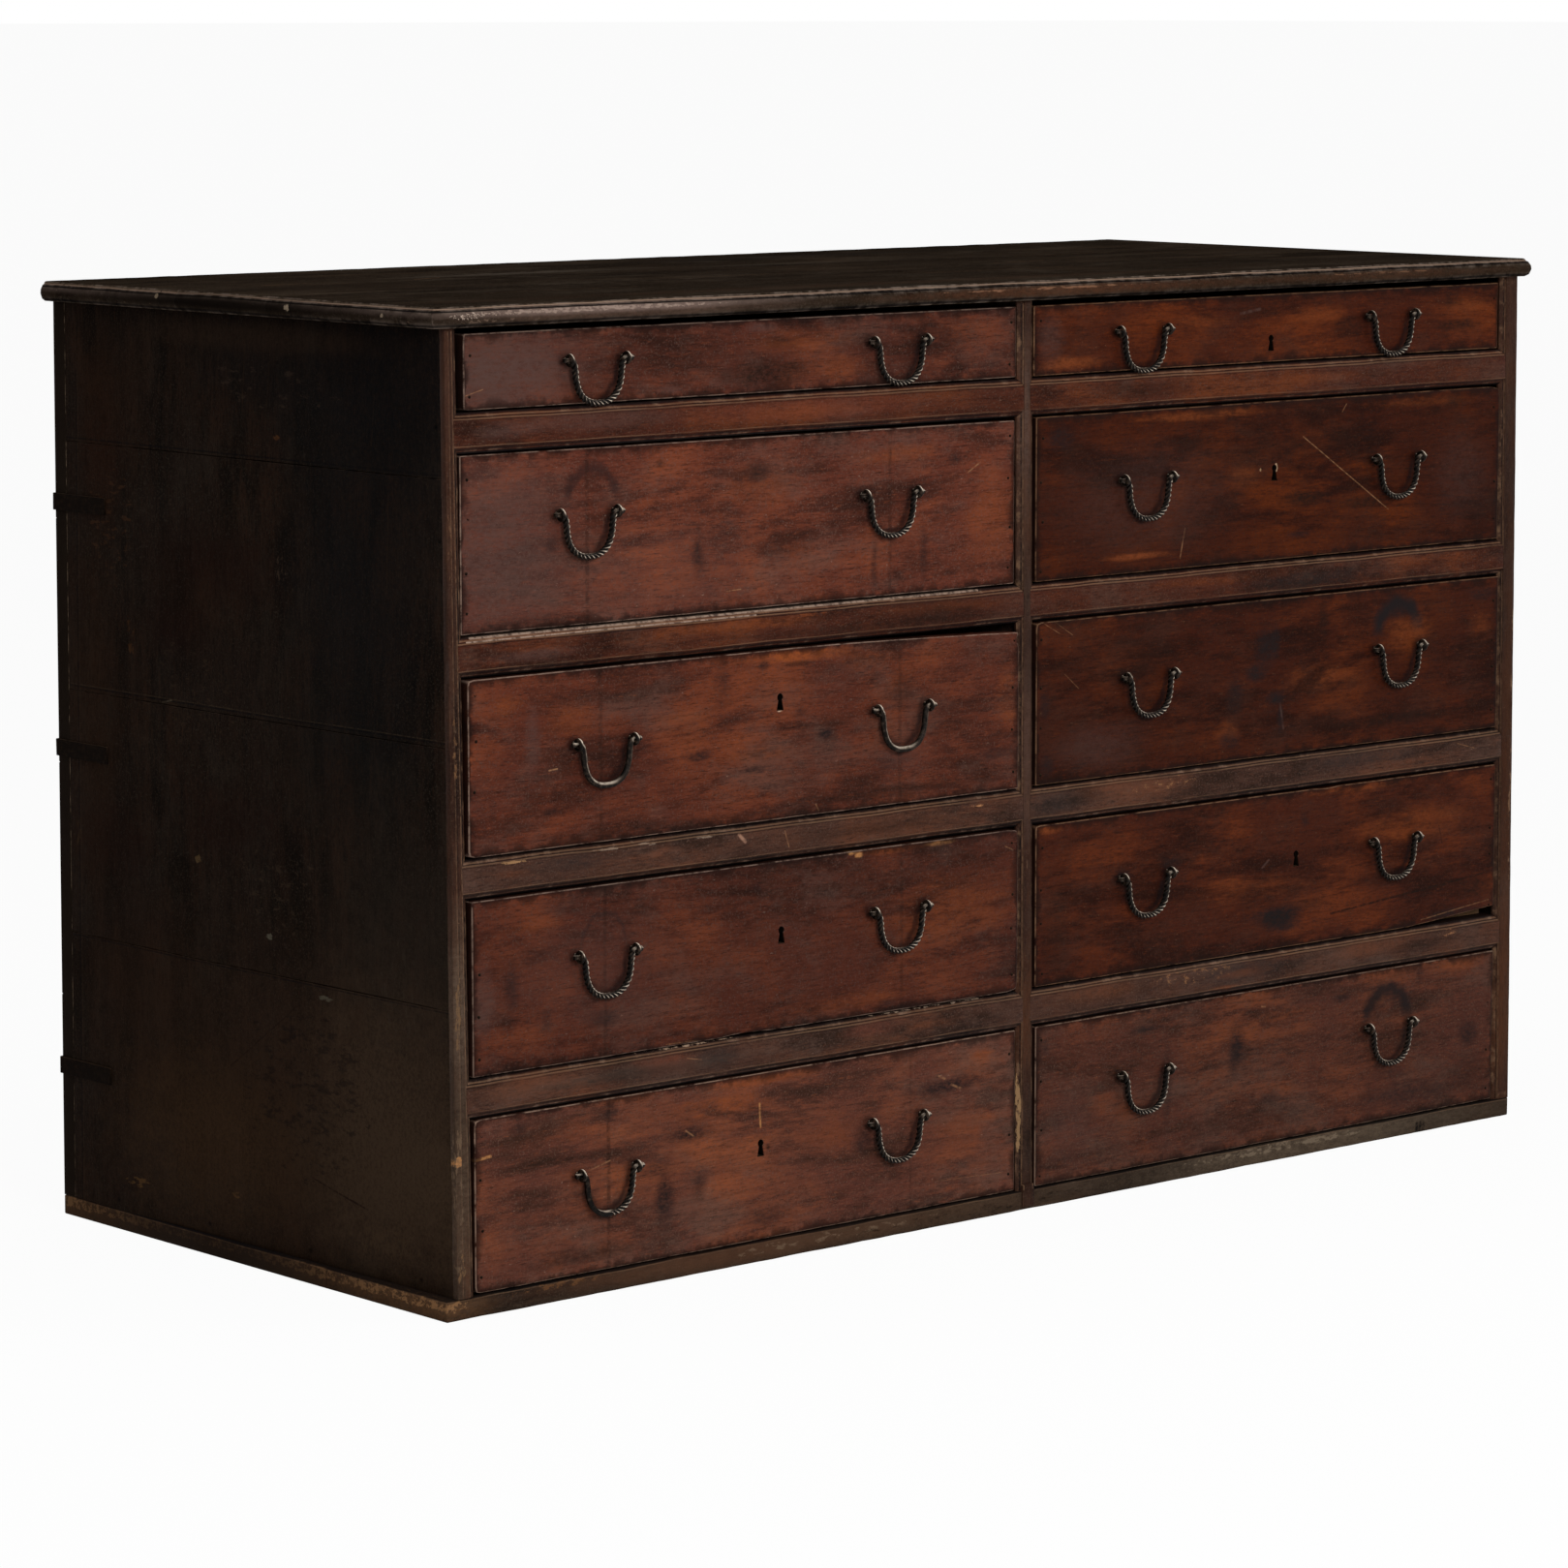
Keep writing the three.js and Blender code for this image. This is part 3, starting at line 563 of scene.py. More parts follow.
# An oval reaches this far into its face; soft spots show this much stronger than they are written.
MARK_DEPTH = 1000.0
STAIN_SHARE = 1.2
RAIL_HEIGHT = 42


def place_on(face, a, b):
    place = [0.0, 0.0, 0.0]
    place[face[0]], place[face[1]] = a, b
    return tuple(at(*place))


def flat_on(face):
    return tuple(float(axis in face) for axis in range(3))


def oval(kind, face, a, b, wide, high, shade, strength, **values):
    """A mark inside an oval of a face, from the oval's middle and half sizes."""
    size = [MARK_DEPTH] * 3
    size[face[0]], size[face[1]] = wide, high
    values.update(Centre=place_on(face, a, b), Size=tuple(Vector(size) / 1000), Flat=flat_on(face))
    return (kind, shade, strength, values)


def stroke(face, a0, b0, a1, b1, width, strength, shade):
    """A scratch, seam, painted highlight line or painted shade line of a face, from its two ends."""
    ends = {"Start": place_on(face, a0, b0), "End": place_on(face, a1, b1)}
    return (fine_line, shade, strength, {**ends, "Width": width / 1000, "Flat": flat_on(face)})


# A soft oval spot: a stain, or a painted sheen, highlight or shade, as its colour and place say.
def soft_spot(x, z, wide, high, strength=0.7, shade=BLUE_BLACK, ragged=0.9, mottle=0.45):
    strength = min(1.0, strength * STAIN_SHARE)
    return oval(soft_mark, FRONT, x, z, wide, high, shade, strength, Ragged=ragged, Mottle=mottle)


def glow(x, z, wide, high, strength=0.6):
    return soft_spot(x, z, wide, high, strength * 0.7, EMBER, 1.8)


# A broad greyish patch, mostly at the fronts' left ends: painted sheen.
def sheen_patch(x, z, wide, high, strength=0.45):
    return soft_spot(x, z, wide, high, strength, GREY_BLOT_AND_SHEEN, 0.6)


def arc(x, z, wide, high, strength=0.75, breadth=0.3):
    return oval(bail_rub_and_shadow, FRONT, x, z, wide, high, BLUE_BLACK, strength, Breadth=breadth)


def line(x0, z0, x1, z1, width=1.2, strength=0.6, shade=PALE):
    if shade in (PALE, CHIP):
        width, strength = width * 0.8, strength * 0.8
    return stroke(FRONT, x0, z0, x1, z1, width, strength, shade)


def patch(x, z, wide, high, fill, shade, strength=0.9, grain=(0.3, 1.0, 1.0)):
    return oval(broken_patch, FRONT, x, z, wide, high, shade, strength, Fill=fill, Grain=grain)


def side_stain(y, z, deep, high, strength=0.5, shade=SOOT_AND_SHADE, ragged=1.0, mottle=0.45):
    strength = min(1.0, strength * STAIN_SHARE)
    return oval(soft_mark, SIDE, y, z, deep, high, shade, strength, Ragged=ragged, Mottle=mottle)


def side_line(y0, z0, y1, z1, width=1.2, strength=0.7, shade=SOOT_AND_SHADE):
    return stroke(SIDE, y0, z0, y1, z1, width, strength, shade)


def side_patch(y, z, deep, high, fill, shade, strength=0.8, grain=(1.0, 0.4, 1.0)):
    return oval(broken_patch, SIDE, y, z, deep, high, shade, strength, Fill=fill, Grain=grain)


def top_stain(x, y, wide, deep, strength=0.5, shade=SOOT_AND_SHADE):
    return oval(soft_mark, TOP, x, y, wide, deep, shade, strength, Ragged=1.0)


def top_line(x0, y0, x1, y1, width=1.2, strength=0.5, shade=PALE):
    return stroke(TOP, x0, y0, x1, y1, width, strength, shade)


def top_patch(x, y, wide, deep, fill, shade, strength=0.7):
    return oval(broken_patch, TOP, x, y, wide, deep, shade, strength, Fill=fill, Grain=(0.2, 2.0, 1.0))


def ledge(z, width, strength, shade, breakup=0.45):
    return (ledge_line, shade, strength, {"Height": at(0, 0, z).z, "Width": width / 1000, "Breakup": breakup})


def many(kind, *rows):
    """One mark of a kind for each row."""
    return [kind(*row) for row in rows]


def rail_light_and_shade_lines(*tops):
    """Painted highlight and painted shade lines along the mouldings of the rails whose tops are named: shade in the
    gaps above and below each rail and in its hollows.
    """
    lines = []
    for top in tops:
        foot = top - RAIL_HEIGHT
        lines += many(
            ledge,
            (top - 0.2, 2.6, 0.88, INK_AND_SHADE, 0.25), (top - 3.4, 0.9, 0.55, LIT_EDGE, 0.4), (top - 5.0, 0.8, 0.7, SOOT_AND_SHADE, 0.3),
            (top - 6.4, 0.9, 0.6, LIT_EDGE, 0.42), (top - 8.2, 0.7, 0.6, SOOT_AND_SHADE, 0.4),
            (foot + 7.4, 0.7, 0.45, LIT_EDGE, 0.46), (foot + 4.6, 2.2, 0.75, INK_AND_SHADE, 0.4),
            (foot + 0.6, 2.2, 0.95, INK_AND_SHADE, 0.12),
        )
    return lines


# Each mark lies over those before it.
DRAWER_MARKS = {
    "left_drawer_1": [
        soft_spot(60, 990, 60, 60, 0.4, colour(62, 44, 39)), sheen_patch(90, 985, 150, 70, 0.75),
        soft_spot(450, 968, 90, 22, 0.75, SOOT_AND_SHADE), soft_spot(470, 1000, 40, 10, 0.4, SOOT_AND_SHADE), glow(500, 1002, 110, 20, 0.35),
        glow(560, 970, 50, 20, 0.35), soft_spot(310, 957, 22, 6, 0.6, GREY_BLOT_AND_SHEEN), sheen_patch(440, 1018, 30, 8, 0.5),
        soft_spot(700, 1000, 90, 26, 0.3, SOOT_AND_SHADE), line(36, 963, 60, 969, 1.0, 0.7),
    ],
    "left_drawer_2": [
        sheen_patch(80, 800, 140, 150, 0.6), sheen_patch(300, 760, 200, 80, 0.25), arc(206, 846, 33, 34, 0.62),
        soft_spot(436, 864, 24, 17, 0.85), soft_spot(352, 778, 13, 32, 0.65), glow(440, 850, 70, 30, 0.4),
        glow(640, 872, 90, 14, 0.45), glow(790, 790, 60, 70, 0.35), soft_spot(728, 862, 16, 10, 0.6),
        line(199, 716, 199, 905, 4.0, 0.4, SOOT_AND_SHADE), line(629, 720, 629, 900, 4.0, 0.38, SOOT_AND_SHADE),
        soft_spot(606, 750, 8, 45, 0.5), soft_spot(680, 760, 9, 50, 0.45), line(746, 845, 766, 856, 1.6, 0.7),
        line(392, 737, 412, 738, 1.4, 0.7), soft_spot(150, 800, 12, 10, 0.5), soft_spot(300, 880, 10, 8, 0.5, SOOT_AND_SHADE),
        soft_spot(480, 780, 60, 24, 0.3, SOOT_AND_SHADE), soft_spot(120, 722, 110, 12, 0.5, SOOT_AND_SHADE),
        line(750, 760, 700, 725, 0.9, 0.25, SOOT_AND_SHADE),
    ],
    "left_drawer_3": [
        glow(490, 661, 120, 9, 1.2), glow(590, 650, 60, 14, 0.6),
        # The pale spot at 461, 602.6 is a painted highlight on the lit lower wall of the keyhole.
        soft_spot(461, 602.6, 5, 1.6, 0.95, colour(206, 176, 150), 0.2), glow(85, 640, 26, 14, 0.5),
        glow(170, 615, 50, 30, 0.4), glow(802, 590, 20, 50, 0.6), glow(430, 560, 60, 18, 0.35),
        glow(330, 600, 60, 26, 0.3), soft_spot(118, 600, 15, 50, 0.45, GREY_BLOT_AND_SHEEN), soft_spot(528, 572, 16, 9, 0.85),
        soft_spot(344, 563, 30, 9, 0.7), soft_spot(425, 541, 28, 6, 0.6), soft_spot(640, 612, 36, 26, 0.4, SOOT_AND_SHADE),
        soft_spot(380, 640, 16, 30, 0.4), soft_spot(438, 654, 12, 8, 0.7), soft_spot(490, 652, 30, 5, 0.6, SOOT_AND_SHADE),
        soft_spot(490, 600, 14, 9, 0.5), soft_spot(620, 500, 200, 9, 0.5, SOOT_AND_SHADE), soft_spot(300, 492, 250, 9, 0.45, SOOT_AND_SHADE),
        soft_spot(778, 528, 40, 9, 0.5), sheen_patch(640, 540, 60, 30, 0.3), line(210, 484, 210, 670, 4.0, 0.35, SOOT_AND_SHADE),
        line(638, 484, 638, 668, 4.0, 0.33, SOOT_AND_SHADE), line(140, 566.5, 151, 567.5, 1.6, 0.9),
        line(514, 495, 518, 488, 1.6, 0.6), soft_spot(140, 523, 14, 6, 0.6),
    ],
    "left_drawer_4": [
        glow(640, 435, 110, 7, 0.85), glow(720, 360, 120, 50, 0.42), glow(560, 270, 120, 14, 0.35),
        glow(120, 405, 60, 10, 0.25), soft_spot(50, 330, 20, 60, 0.4, GREY_BLOT_AND_SHEEN), soft_spot(88, 340, 14, 36, 0.55),
        soft_spot(135, 300, 12, 20, 0.4), soft_spot(212, 295, 34, 16, 0.55), arc(214, 372, 30, 36, 0.45, 0.14),
        line(215, 252, 215, 434, 3.5, 0.4, SOOT_AND_SHADE), line(642, 252, 642, 434, 3.5, 0.3, SOOT_AND_SHADE),
        soft_spot(566, 437, 9, 4, 0.9, CHIP, 1.6), soft_spot(577, 433, 8, 5, 0.85, CHIP, 1.8),
        soft_spot(700, 434, 30, 4, 0.5, CHIP, 1.8), line(300, 255, 345, 254, 1.4, 0.75),
        line(800, 420, 812, 415, 1.2, 0.5), soft_spot(620, 262, 18, 8, 0.5), sheen_patch(200, 350, 160, 80, 0.22),
        soft_spot(430, 412, 16, 8, 0.4),
    ],
    "left_drawer_5": [
        glow(380, 175, 100, 16, 0.75), glow(440, 198, 110, 8, 0.6), glow(150, 180, 90, 20, 0.4),
        glow(770, 184, 24, 10, 0.6), glow(540, 120, 60, 30, 0.35), glow(740, 105, 60, 40, 0.3),
        soft_spot(335, 152, 46, 13, 0.8), soft_spot(300, 85, 20, 42, 0.8), soft_spot(290, 120, 30, 14, 0.5),
        soft_spot(720, 156, 80, 14, 0.8), soft_spot(590, 112, 20, 22, 0.6), soft_spot(350, 95, 16, 26, 0.5),
        soft_spot(445, 45, 50, 18, 0.45), soft_spot(100, 190, 16, 12, 0.5), soft_spot(225, 192, 14, 16, 0.5),
        soft_spot(160, 148, 120, 6, 0.45, SOOT_AND_SHADE), line(222, 24, 222, 205, 4.0, 0.5, SOOT_AND_SHADE),
        line(660, 24, 660, 200, 3.0, 0.25, SOOT_AND_SHADE), soft_spot(190, 40, 120, 14, 0.5, SOOT_AND_SHADE),
        line(41, 163, 62, 165, 3.0, 0.9, CHIP), line(196, 131, 224, 138, 1.6, 0.6),
        line(437, 146, 436, 172, 2.4, 0.8, CHIP), soft_spot(448, 122, 5, 5, 0.8, SOOT_AND_SHADE),
        line(703, 168, 712, 164, 2.4, 0.75), line(722, 156, 736, 150, 2.4, 0.75),
        line(330, 156, 342, 148, 1.8, 0.6), line(700, 48, 800, 44, 0.8, 0.4),
    ],
    "right_drawer_1": [
        glow(900, 960, 70, 10, 0.7), glow(1110, 1000, 60, 14, 0.35), glow(1300, 1000, 70, 14, 0.4),
        glow(1570, 1002, 50, 14, 0.5), soft_spot(1550, 980, 60, 9, 0.75, SOOT_AND_SHADE), soft_spot(1200, 1010, 60, 12, 0.4, SOOT_AND_SHADE),
        line(1176, 1006, 1208, 1010, 2.6, 0.55, GREY_BLOT_AND_SHEEN), soft_spot(1360, 985, 40, 20, 0.4, SOOT_AND_SHADE),
        sheen_patch(870, 990, 30, 40, 0.35), soft_spot(1540, 1010, 26, 16, 0.5, SOOT_AND_SHADE),
    ],
    "right_drawer_2": [
        # The two pale patches at the keyhole: chips, and a painted highlight on its lit lower wall.
        patch(1236, 824, 5, 10, 1.0, colour(170, 140, 112), 0.9, (1.0, 1.0, 1.0)),
        patch(1210, 823, 3, 5, 0.9, colour(150, 118, 88), 0.8, (1.0, 1.0, 1.0)), glow(1120, 892, 150, 9, 0.7),
        glow(1000, 735, 80, 6, 0.7), glow(1480, 890, 120, 8, 0.4), glow(1180, 820, 40, 20, 0.3),
        soft_spot(1290, 785, 60, 14, 0.7, SOOT_AND_SHADE), soft_spot(1390, 775, 70, 12, 0.6, SOOT_AND_SHADE),
        soft_spot(1300, 850, 130, 20, 0.35, SOOT_AND_SHADE), soft_spot(885, 876, 34, 20, 0.6), soft_spot(1090, 860, 60, 12, 0.3, SOOT_AND_SHADE),
        soft_spot(1545, 888, 26, 14, 0.6, SOOT_AND_SHADE), line(1282, 858, 1430, 764, 1.3, 0.75),
        line(1086, 762, 1078, 728, 1.5, 0.7), line(1355, 893, 1348, 884, 1.2, 0.5), soft_spot(1275, 744, 30, 6, 0.5),
        sheen_patch(1020, 800, 200, 90, 0.2), sheen_patch(1560, 800, 70, 80, 0.2),
    ],
    "right_drawer_3": [
        soft_spot(1222, 612, 26, 34, 1.0), soft_spot(1205, 585, 26, 15, 0.8), soft_spot(1238, 620, 12, 30, 0.8),
        soft_spot(1238, 552, 24, 12, 0.95), soft_spot(1248, 528, 8, 24, 0.7), arc(1449, 612, 35, 38, 1.0, 0.42),
        soft_spot(1449, 640, 30, 14, 0.6), soft_spot(1500, 595, 26, 22, 0.5, SOOT_AND_SHADE), glow(1310, 570, 80, 24, 0.55),
        glow(1470, 610, 60, 30, 0.45), glow(1160, 520, 30, 20, 0.4), glow(1600, 600, 30, 40, 0.35),
        soft_spot(1170, 560, 20, 40, 0.5), soft_spot(1162, 508, 26, 16, 0.6), soft_spot(862, 575, 12, 24, 0.6),
        soft_spot(866, 505, 16, 18, 0.6), soft_spot(1320, 640, 14, 32, 0.5, SOOT_AND_SHADE), soft_spot(1600, 650, 40, 14, 0.5),
        soft_spot(1450, 510, 160, 12, 0.5, SOOT_AND_SHADE), line(893, 608, 915, 590, 0.9, 0.5),
        line(860, 668, 885, 655, 1.0, 0.5), line(875, 670, 905, 652, 1.0, 0.4), soft_spot(1030, 610, 60, 40, 0.3, SOOT_AND_SHADE),
        line(1247, 545, 1253, 515, 2.2, 0.5, GREY_BLOT_AND_SHEEN), sheen_patch(950, 520, 100, 40, 0.25),
    ],
    "right_drawer_4": [
        glow(1390, 434, 130, 9, 0.85), glow(866, 432, 26, 8, 0.8), glow(1480, 380, 120, 30, 0.45),
        glow(1200, 330, 150, 20, 0.3), soft_spot(1245, 294, 62, 13, 0.85),
        soft_spot(1250, 287, 50, 20, 0.75, colour(24, 22, 22), 0.7, 0.75), soft_spot(1262, 278, 40, 12, 0.65),
        soft_spot(1300, 300, 50, 10, 0.4, SOOT_AND_SHADE), line(1340, 284, 1628, 306, 2.2, 0.8, SOOT_AND_SHADE),
        soft_spot(1600, 290, 50, 22, 0.6, SOOT_AND_SHADE), soft_spot(1560, 262, 70, 9, 0.7),
        line(1500, 259, 1622, 271, 1.4, 0.45, PALE), soft_spot(1293, 402, 10, 14, 0.5),
        line(1221, 352, 1232, 360, 2.0, 0.5, GREY_BLOT_AND_SHEEN), soft_spot(1068, 372, 26, 14, 0.5), soft_spot(988, 366, 28, 10, 0.6),
        soft_spot(880, 300, 30, 70, 0.3, SOOT_AND_SHADE), line(1318, 440, 1342, 441, 3.0, 0.7),
        soft_spot(1625, 330, 16, 40, 0.4, SOOT_AND_SHADE), line(1530, 372, 1536, 350, 1.4, 0.5, SOOT_AND_SHADE),
    ],
    "right_drawer_5": [
        soft_spot(1183, 142, 20, 38, 0.8), soft_spot(1175, 118, 14, 20, 0.5), soft_spot(1030, 181, 44, 8, 0.6),
        arc(1443, 145, 36, 36, 0.9, 0.4), soft_spot(1443, 172, 30, 12, 0.5), soft_spot(1362, 178, 26, 8, 0.6),
        soft_spot(1590, 108, 26, 26, 0.7), soft_spot(1590, 60, 60, 40, 0.4, SOOT_AND_SHADE), soft_spot(1066, 110, 12, 90, 0.45),
        soft_spot(1480, 48, 130, 22, 0.5), soft_spot(1460, 75, 80, 10, 0.35), soft_spot(1240, 72, 24, 8, 0.5),
        glow(960, 105, 30, 20, 0.35), glow(1250, 170, 90, 10, 0.4), glow(1580, 195, 50, 10, 0.45),
        soft_spot(1500, 195, 12, 22, 0.5), soft_spot(868, 180, 12, 12, 0.5), soft_spot(1420, 165, 30, 18, 0.3, SOOT_AND_SHADE),
        line(1224, 185, 1230, 184, 2.0, 0.6), sheen_patch(900, 80, 60, 60, 0.25),
    ],
}
# The boards of one wood share its marks, and each mark shows on the boards that lie at its place.
SIDE_MARKS = [
    *many(
        side_stain,
        (90, 960, 240, 170, 0.7, INK_AND_SHADE), (330, 980, 200, 110, 0.45, INK_AND_SHADE),
        (190, 570, 170, 110, 0.4, colour(22, 19, 16)), (400, 760, 190, 60, 0.5, RED_BROWN),
        (480, 690, 90, 60, 0.5, RED_BROWN), (620, 880, 60, 130, 0.5, colour(44, 25, 16)),
        (600, 960, 90, 70, 0.4, colour(40, 26, 18)), (130, 860, 260, 260, 0.35, colour(15, 15, 16), 1.2),
        (640, 560, 80, 300, 0.4, colour(44, 28, 18), 1.2), (340, 1010, 300, 24, 0.4, colour(52, 38, 28)),
        (380, 480, 150, 60, 0.4, RED_BROWN), (600, 440, 120, 60, 0.4, RED_BROWN),
        (560, 300, 170, 130, 0.35, colour(38, 25, 18)), (250, 150, 600, 330, 0.5, colour(50, 35, 25), 0.9),
        (150, 700, 160, 300, 0.45, colour(18, 19, 20), 0.9), (120, 110, 260, 120, 0.6, UMBER),
        (60, 150, 120, 90, 0.5, colour(60, 46, 34)), (420, 170, 240, 90, 0.4, colour(50, 35, 23)),
        (110, 190, 200, 250, 0.55, colour(64, 50, 38), 1.2), (430, 110, 240, 130, 0.45, colour(60, 43, 28), 1.2),
        (90, 400, 200, 170, 0.5, colour(40, 33, 27)),
    ),
    *many(
        side_patch,
        (120, 150, 240, 190, 0.4, colour(62, 48, 36), 0.5, (1.0, 1.6, 0.7)),
        (420, 120, 260, 120, 0.35, colour(58, 41, 29), 0.5, (1.0, 1.6, 0.7)),
        (120, 60, 160, 50, 0.45, colour(66, 50, 36), 0.5, (1.0, 1.6, 0.9)),
        (90, 330, 120, 160, 0.3, colour(54, 45, 37), 0.4, (1.0, 1.6, 0.5)),
        (300, 420, 200, 160, 0.25, colour(56, 44, 34), 0.5), (600, 800, 120, 200, 0.3, colour(64, 42, 28), 0.5),
        (300, 960, 300, 80, 0.25, colour(56, 44, 36), 0.45), (250, 200, 300, 260, 0.35, INK_AND_SHADE, 0.5),
        (450, 620, 260, 200, 0.25, colour(52, 40, 30), 0.45),
        (565, 670, 22, 60, 0.4, colour(72, 46, 26), 0.6, (1.0, 1.6, 0.6)),
        (285, 765, 34, 50, 0.35, colour(66, 52, 42), 0.5, (1.0, 1.6, 0.8)),
        (440, 436, 12, 10, 0.8, colour(84, 66, 44), 0.7, (1.0, 1.6, 1.6)),
        (312, 366, 14, 8, 0.8, colour(84, 78, 66)), (215, 310, 26, 9, 0.6, colour(76, 70, 58)),
        (670, 440, 22, 40, 0.4, colour(58, 42, 28), 0.6, (1.0, 1.6, 0.6)),
        (290, 905, 14, 7, 0.6, colour(78, 48, 28), 0.7, (1.0, 1.6, 1.6)),
        (560, 56, 60, 14, 0.5, colour(84, 60, 36)), (380, 70, 26, 12, 0.5, colour(80, 56, 34)),
    ),
    *many(
        side_line,
        (0, 605, 700, 605, 1.4, 0.8, INK_AND_SHADE), (0, 607, 700, 607, 0.9, 0.4, colour(66, 54, 42)),
        (0, 883, 700, 883, 1.3, 0.8, INK_AND_SHADE), (0, 322, 700, 322, 1.2, 0.7, INK_AND_SHADE), (672, 20, 666, 960, 1.3, 0.8, INK_AND_SHADE),
        (669, 20, 663, 960, 1.0, 0.35, colour(66, 50, 38)), (265, 296, 385, 214, 1.3, 0.75),
        (150, 91, 195, 100, 1.6, 0.9), (195, 100, 245, 111, 1.4, 0.9),
        (488, 606, 506, 602, 1.4, 0.7, colour(84, 74, 60)), (300, 1000, 312, 900, 0.9, 0.35, UMBER),
        (345, 1010, 352, 930, 0.9, 0.3, UMBER), (95, 860, 100, 760, 0.9, 0.35, UMBER),
        (455, 640, 470, 560, 0.9, 0.3, UMBER), (118, 960, 124, 900, 0.9, 0.3, UMBER),
    ),
]
# Nail holes of the left side: down its front edge, and along its foot.
EDGE_NAILS = ((16, 932), (12, 815), (9, 652), (7, 400), (5, 292), (6, 243), (7, 193))
FOOT_NAILS = ((250, 30), (60, 30), (430, 30), (600, 30))
SIDE_MARKS += [side_stain(y, z, 4.5, 4.0, 0.9, colour(6, 5, 5), 0.3) for y, z in EDGE_NAILS + FOOT_NAILS]

# First the top's moulded edge, with painted highlights and painted shade lines; then its face from above.
TOP_MARKS = [
    # Pale bands and patches along the front of the nosing: a painted highlight on its left part.
    soft_spot(250, 1043, 330, 10, 0.6, colour(84, 64, 54), 0.6),
    soft_spot(210, 1048, 330, 7, 0.75, colour(112, 94, 86), 0.4, 0.9),
    soft_spot(900, 1044, 430, 9, 0.55, colour(84, 52, 36), 0.6),
    soft_spot(1400, 1044, 320, 9, 0.5, colour(74, 48, 34), 0.6),
    patch(200, 1048, 380, 6, 0.6, colour(146, 126, 114), 0.8, (1.2, 1.0, 3.0)),
    patch(30, 1046, 60, 9, 0.45, colour(184, 164, 148), 0.75, (2.2, 1.0, 3.0)),
    patch(60, 1040, 200, 6, 0.3, colour(110, 90, 76), 0.6, (1.2, 1.0, 3.0)),
    patch(60, 1047, 180, 4, 0.3, colour(176, 156, 140), 0.6, (2.2, 1.0, 4.0)),
    patch(860, 1047, 420, 4, 0.45, colour(128, 92, 70), 0.7, (0.4, 1.0, 2.0)),
    patch(1400, 1047, 300, 4, 0.4, colour(112, 80, 60), 0.6, (0.4, 1.0, 2.0)),
    # A painted highlight on the arris, painted shade in the groove below it and under the nosing, then a dark band on
    # the left end.
    ledge(1053.6, 0.9, 0.85, colour(136, 112, 96), 0.38), ledge(1051.0, 1.2, 0.9, INK_AND_SHADE, 0.3),
    ledge(1036.4, 2.0, 0.8, INK_AND_SHADE, 0.3), side_stain(370, 1045, 395, 12.5, 0.8, colour(19, 15, 12), 0.15, 1.0),
    # A painted highlight along the arris of the left end; then chips and seams.
    side_line(12, 1054.6, 730, 1054.6, 1.1, 0.55, colour(96, 80, 66)),
    side_patch(240, 1046, 9, 9, 0.9, colour(150, 132, 112), 0.9, (1.0, 1.6, 1.6)),
    side_patch(482, 1049, 7, 6, 0.9, colour(120, 104, 86), 0.8, (1.0, 1.6, 1.6)),
    side_patch(72, 1045, 5, 5, 0.9, colour(140, 122, 104), 0.8, (1.0, 1.6, 1.6)),
    side_line(232, 1037, 236, 1054, 1.4, 0.8, INK_AND_SHADE), side_line(474, 1037, 478, 1054, 1.4, 0.8, INK_AND_SHADE),
    top_stain(500, 500, 260, 26, 0.5, colour(78, 70, 62)), top_stain(160, 380, 160, 120, 0.4, colour(34, 27, 22)),
    top_stain(900, 480, 200, 20, 0.4, colour(70, 62, 54)), top_stain(1000, 620, 420, 50, 0.5, colour(30, 28, 27)),
    top_stain(1560, 120, 100, 80, 0.4, colour(30, 28, 26)), top_stain(700, 60, 900, 40, 0.35, colour(58, 40, 30)),
    top_patch(420, 300, 400, 240, 0.3, colour(84, 72, 60), 0.4),
    top_patch(1100, 300, 500, 260, 0.25, colour(78, 66, 54), 0.4),
    top_patch(500, 520, 320, 80, 0.4, colour(94, 82, 70), 0.4), top_patch(800, 350, 800, 340, 0.2, INK_AND_SHADE, 0.5),
    top_patch(1450, 240, 120, 60, 0.4, colour(92, 80, 66), 0.4), top_line(330, 470, 372, 478, 1.0, 0.6),
    top_line(1090, 330, 1180, 336, 1.1, 0.5), top_line(120, 470, 190, 474, 1.0, 0.4),
    top_line(600, 300, 760, 306, 0.9, 0.3), top_line(200, 180, 420, 186, 1.0, 0.35),
    top_line(860, 200, 1100, 204, 0.9, 0.3), top_line(1220, 430, 1400, 436, 0.9, 0.35),
]
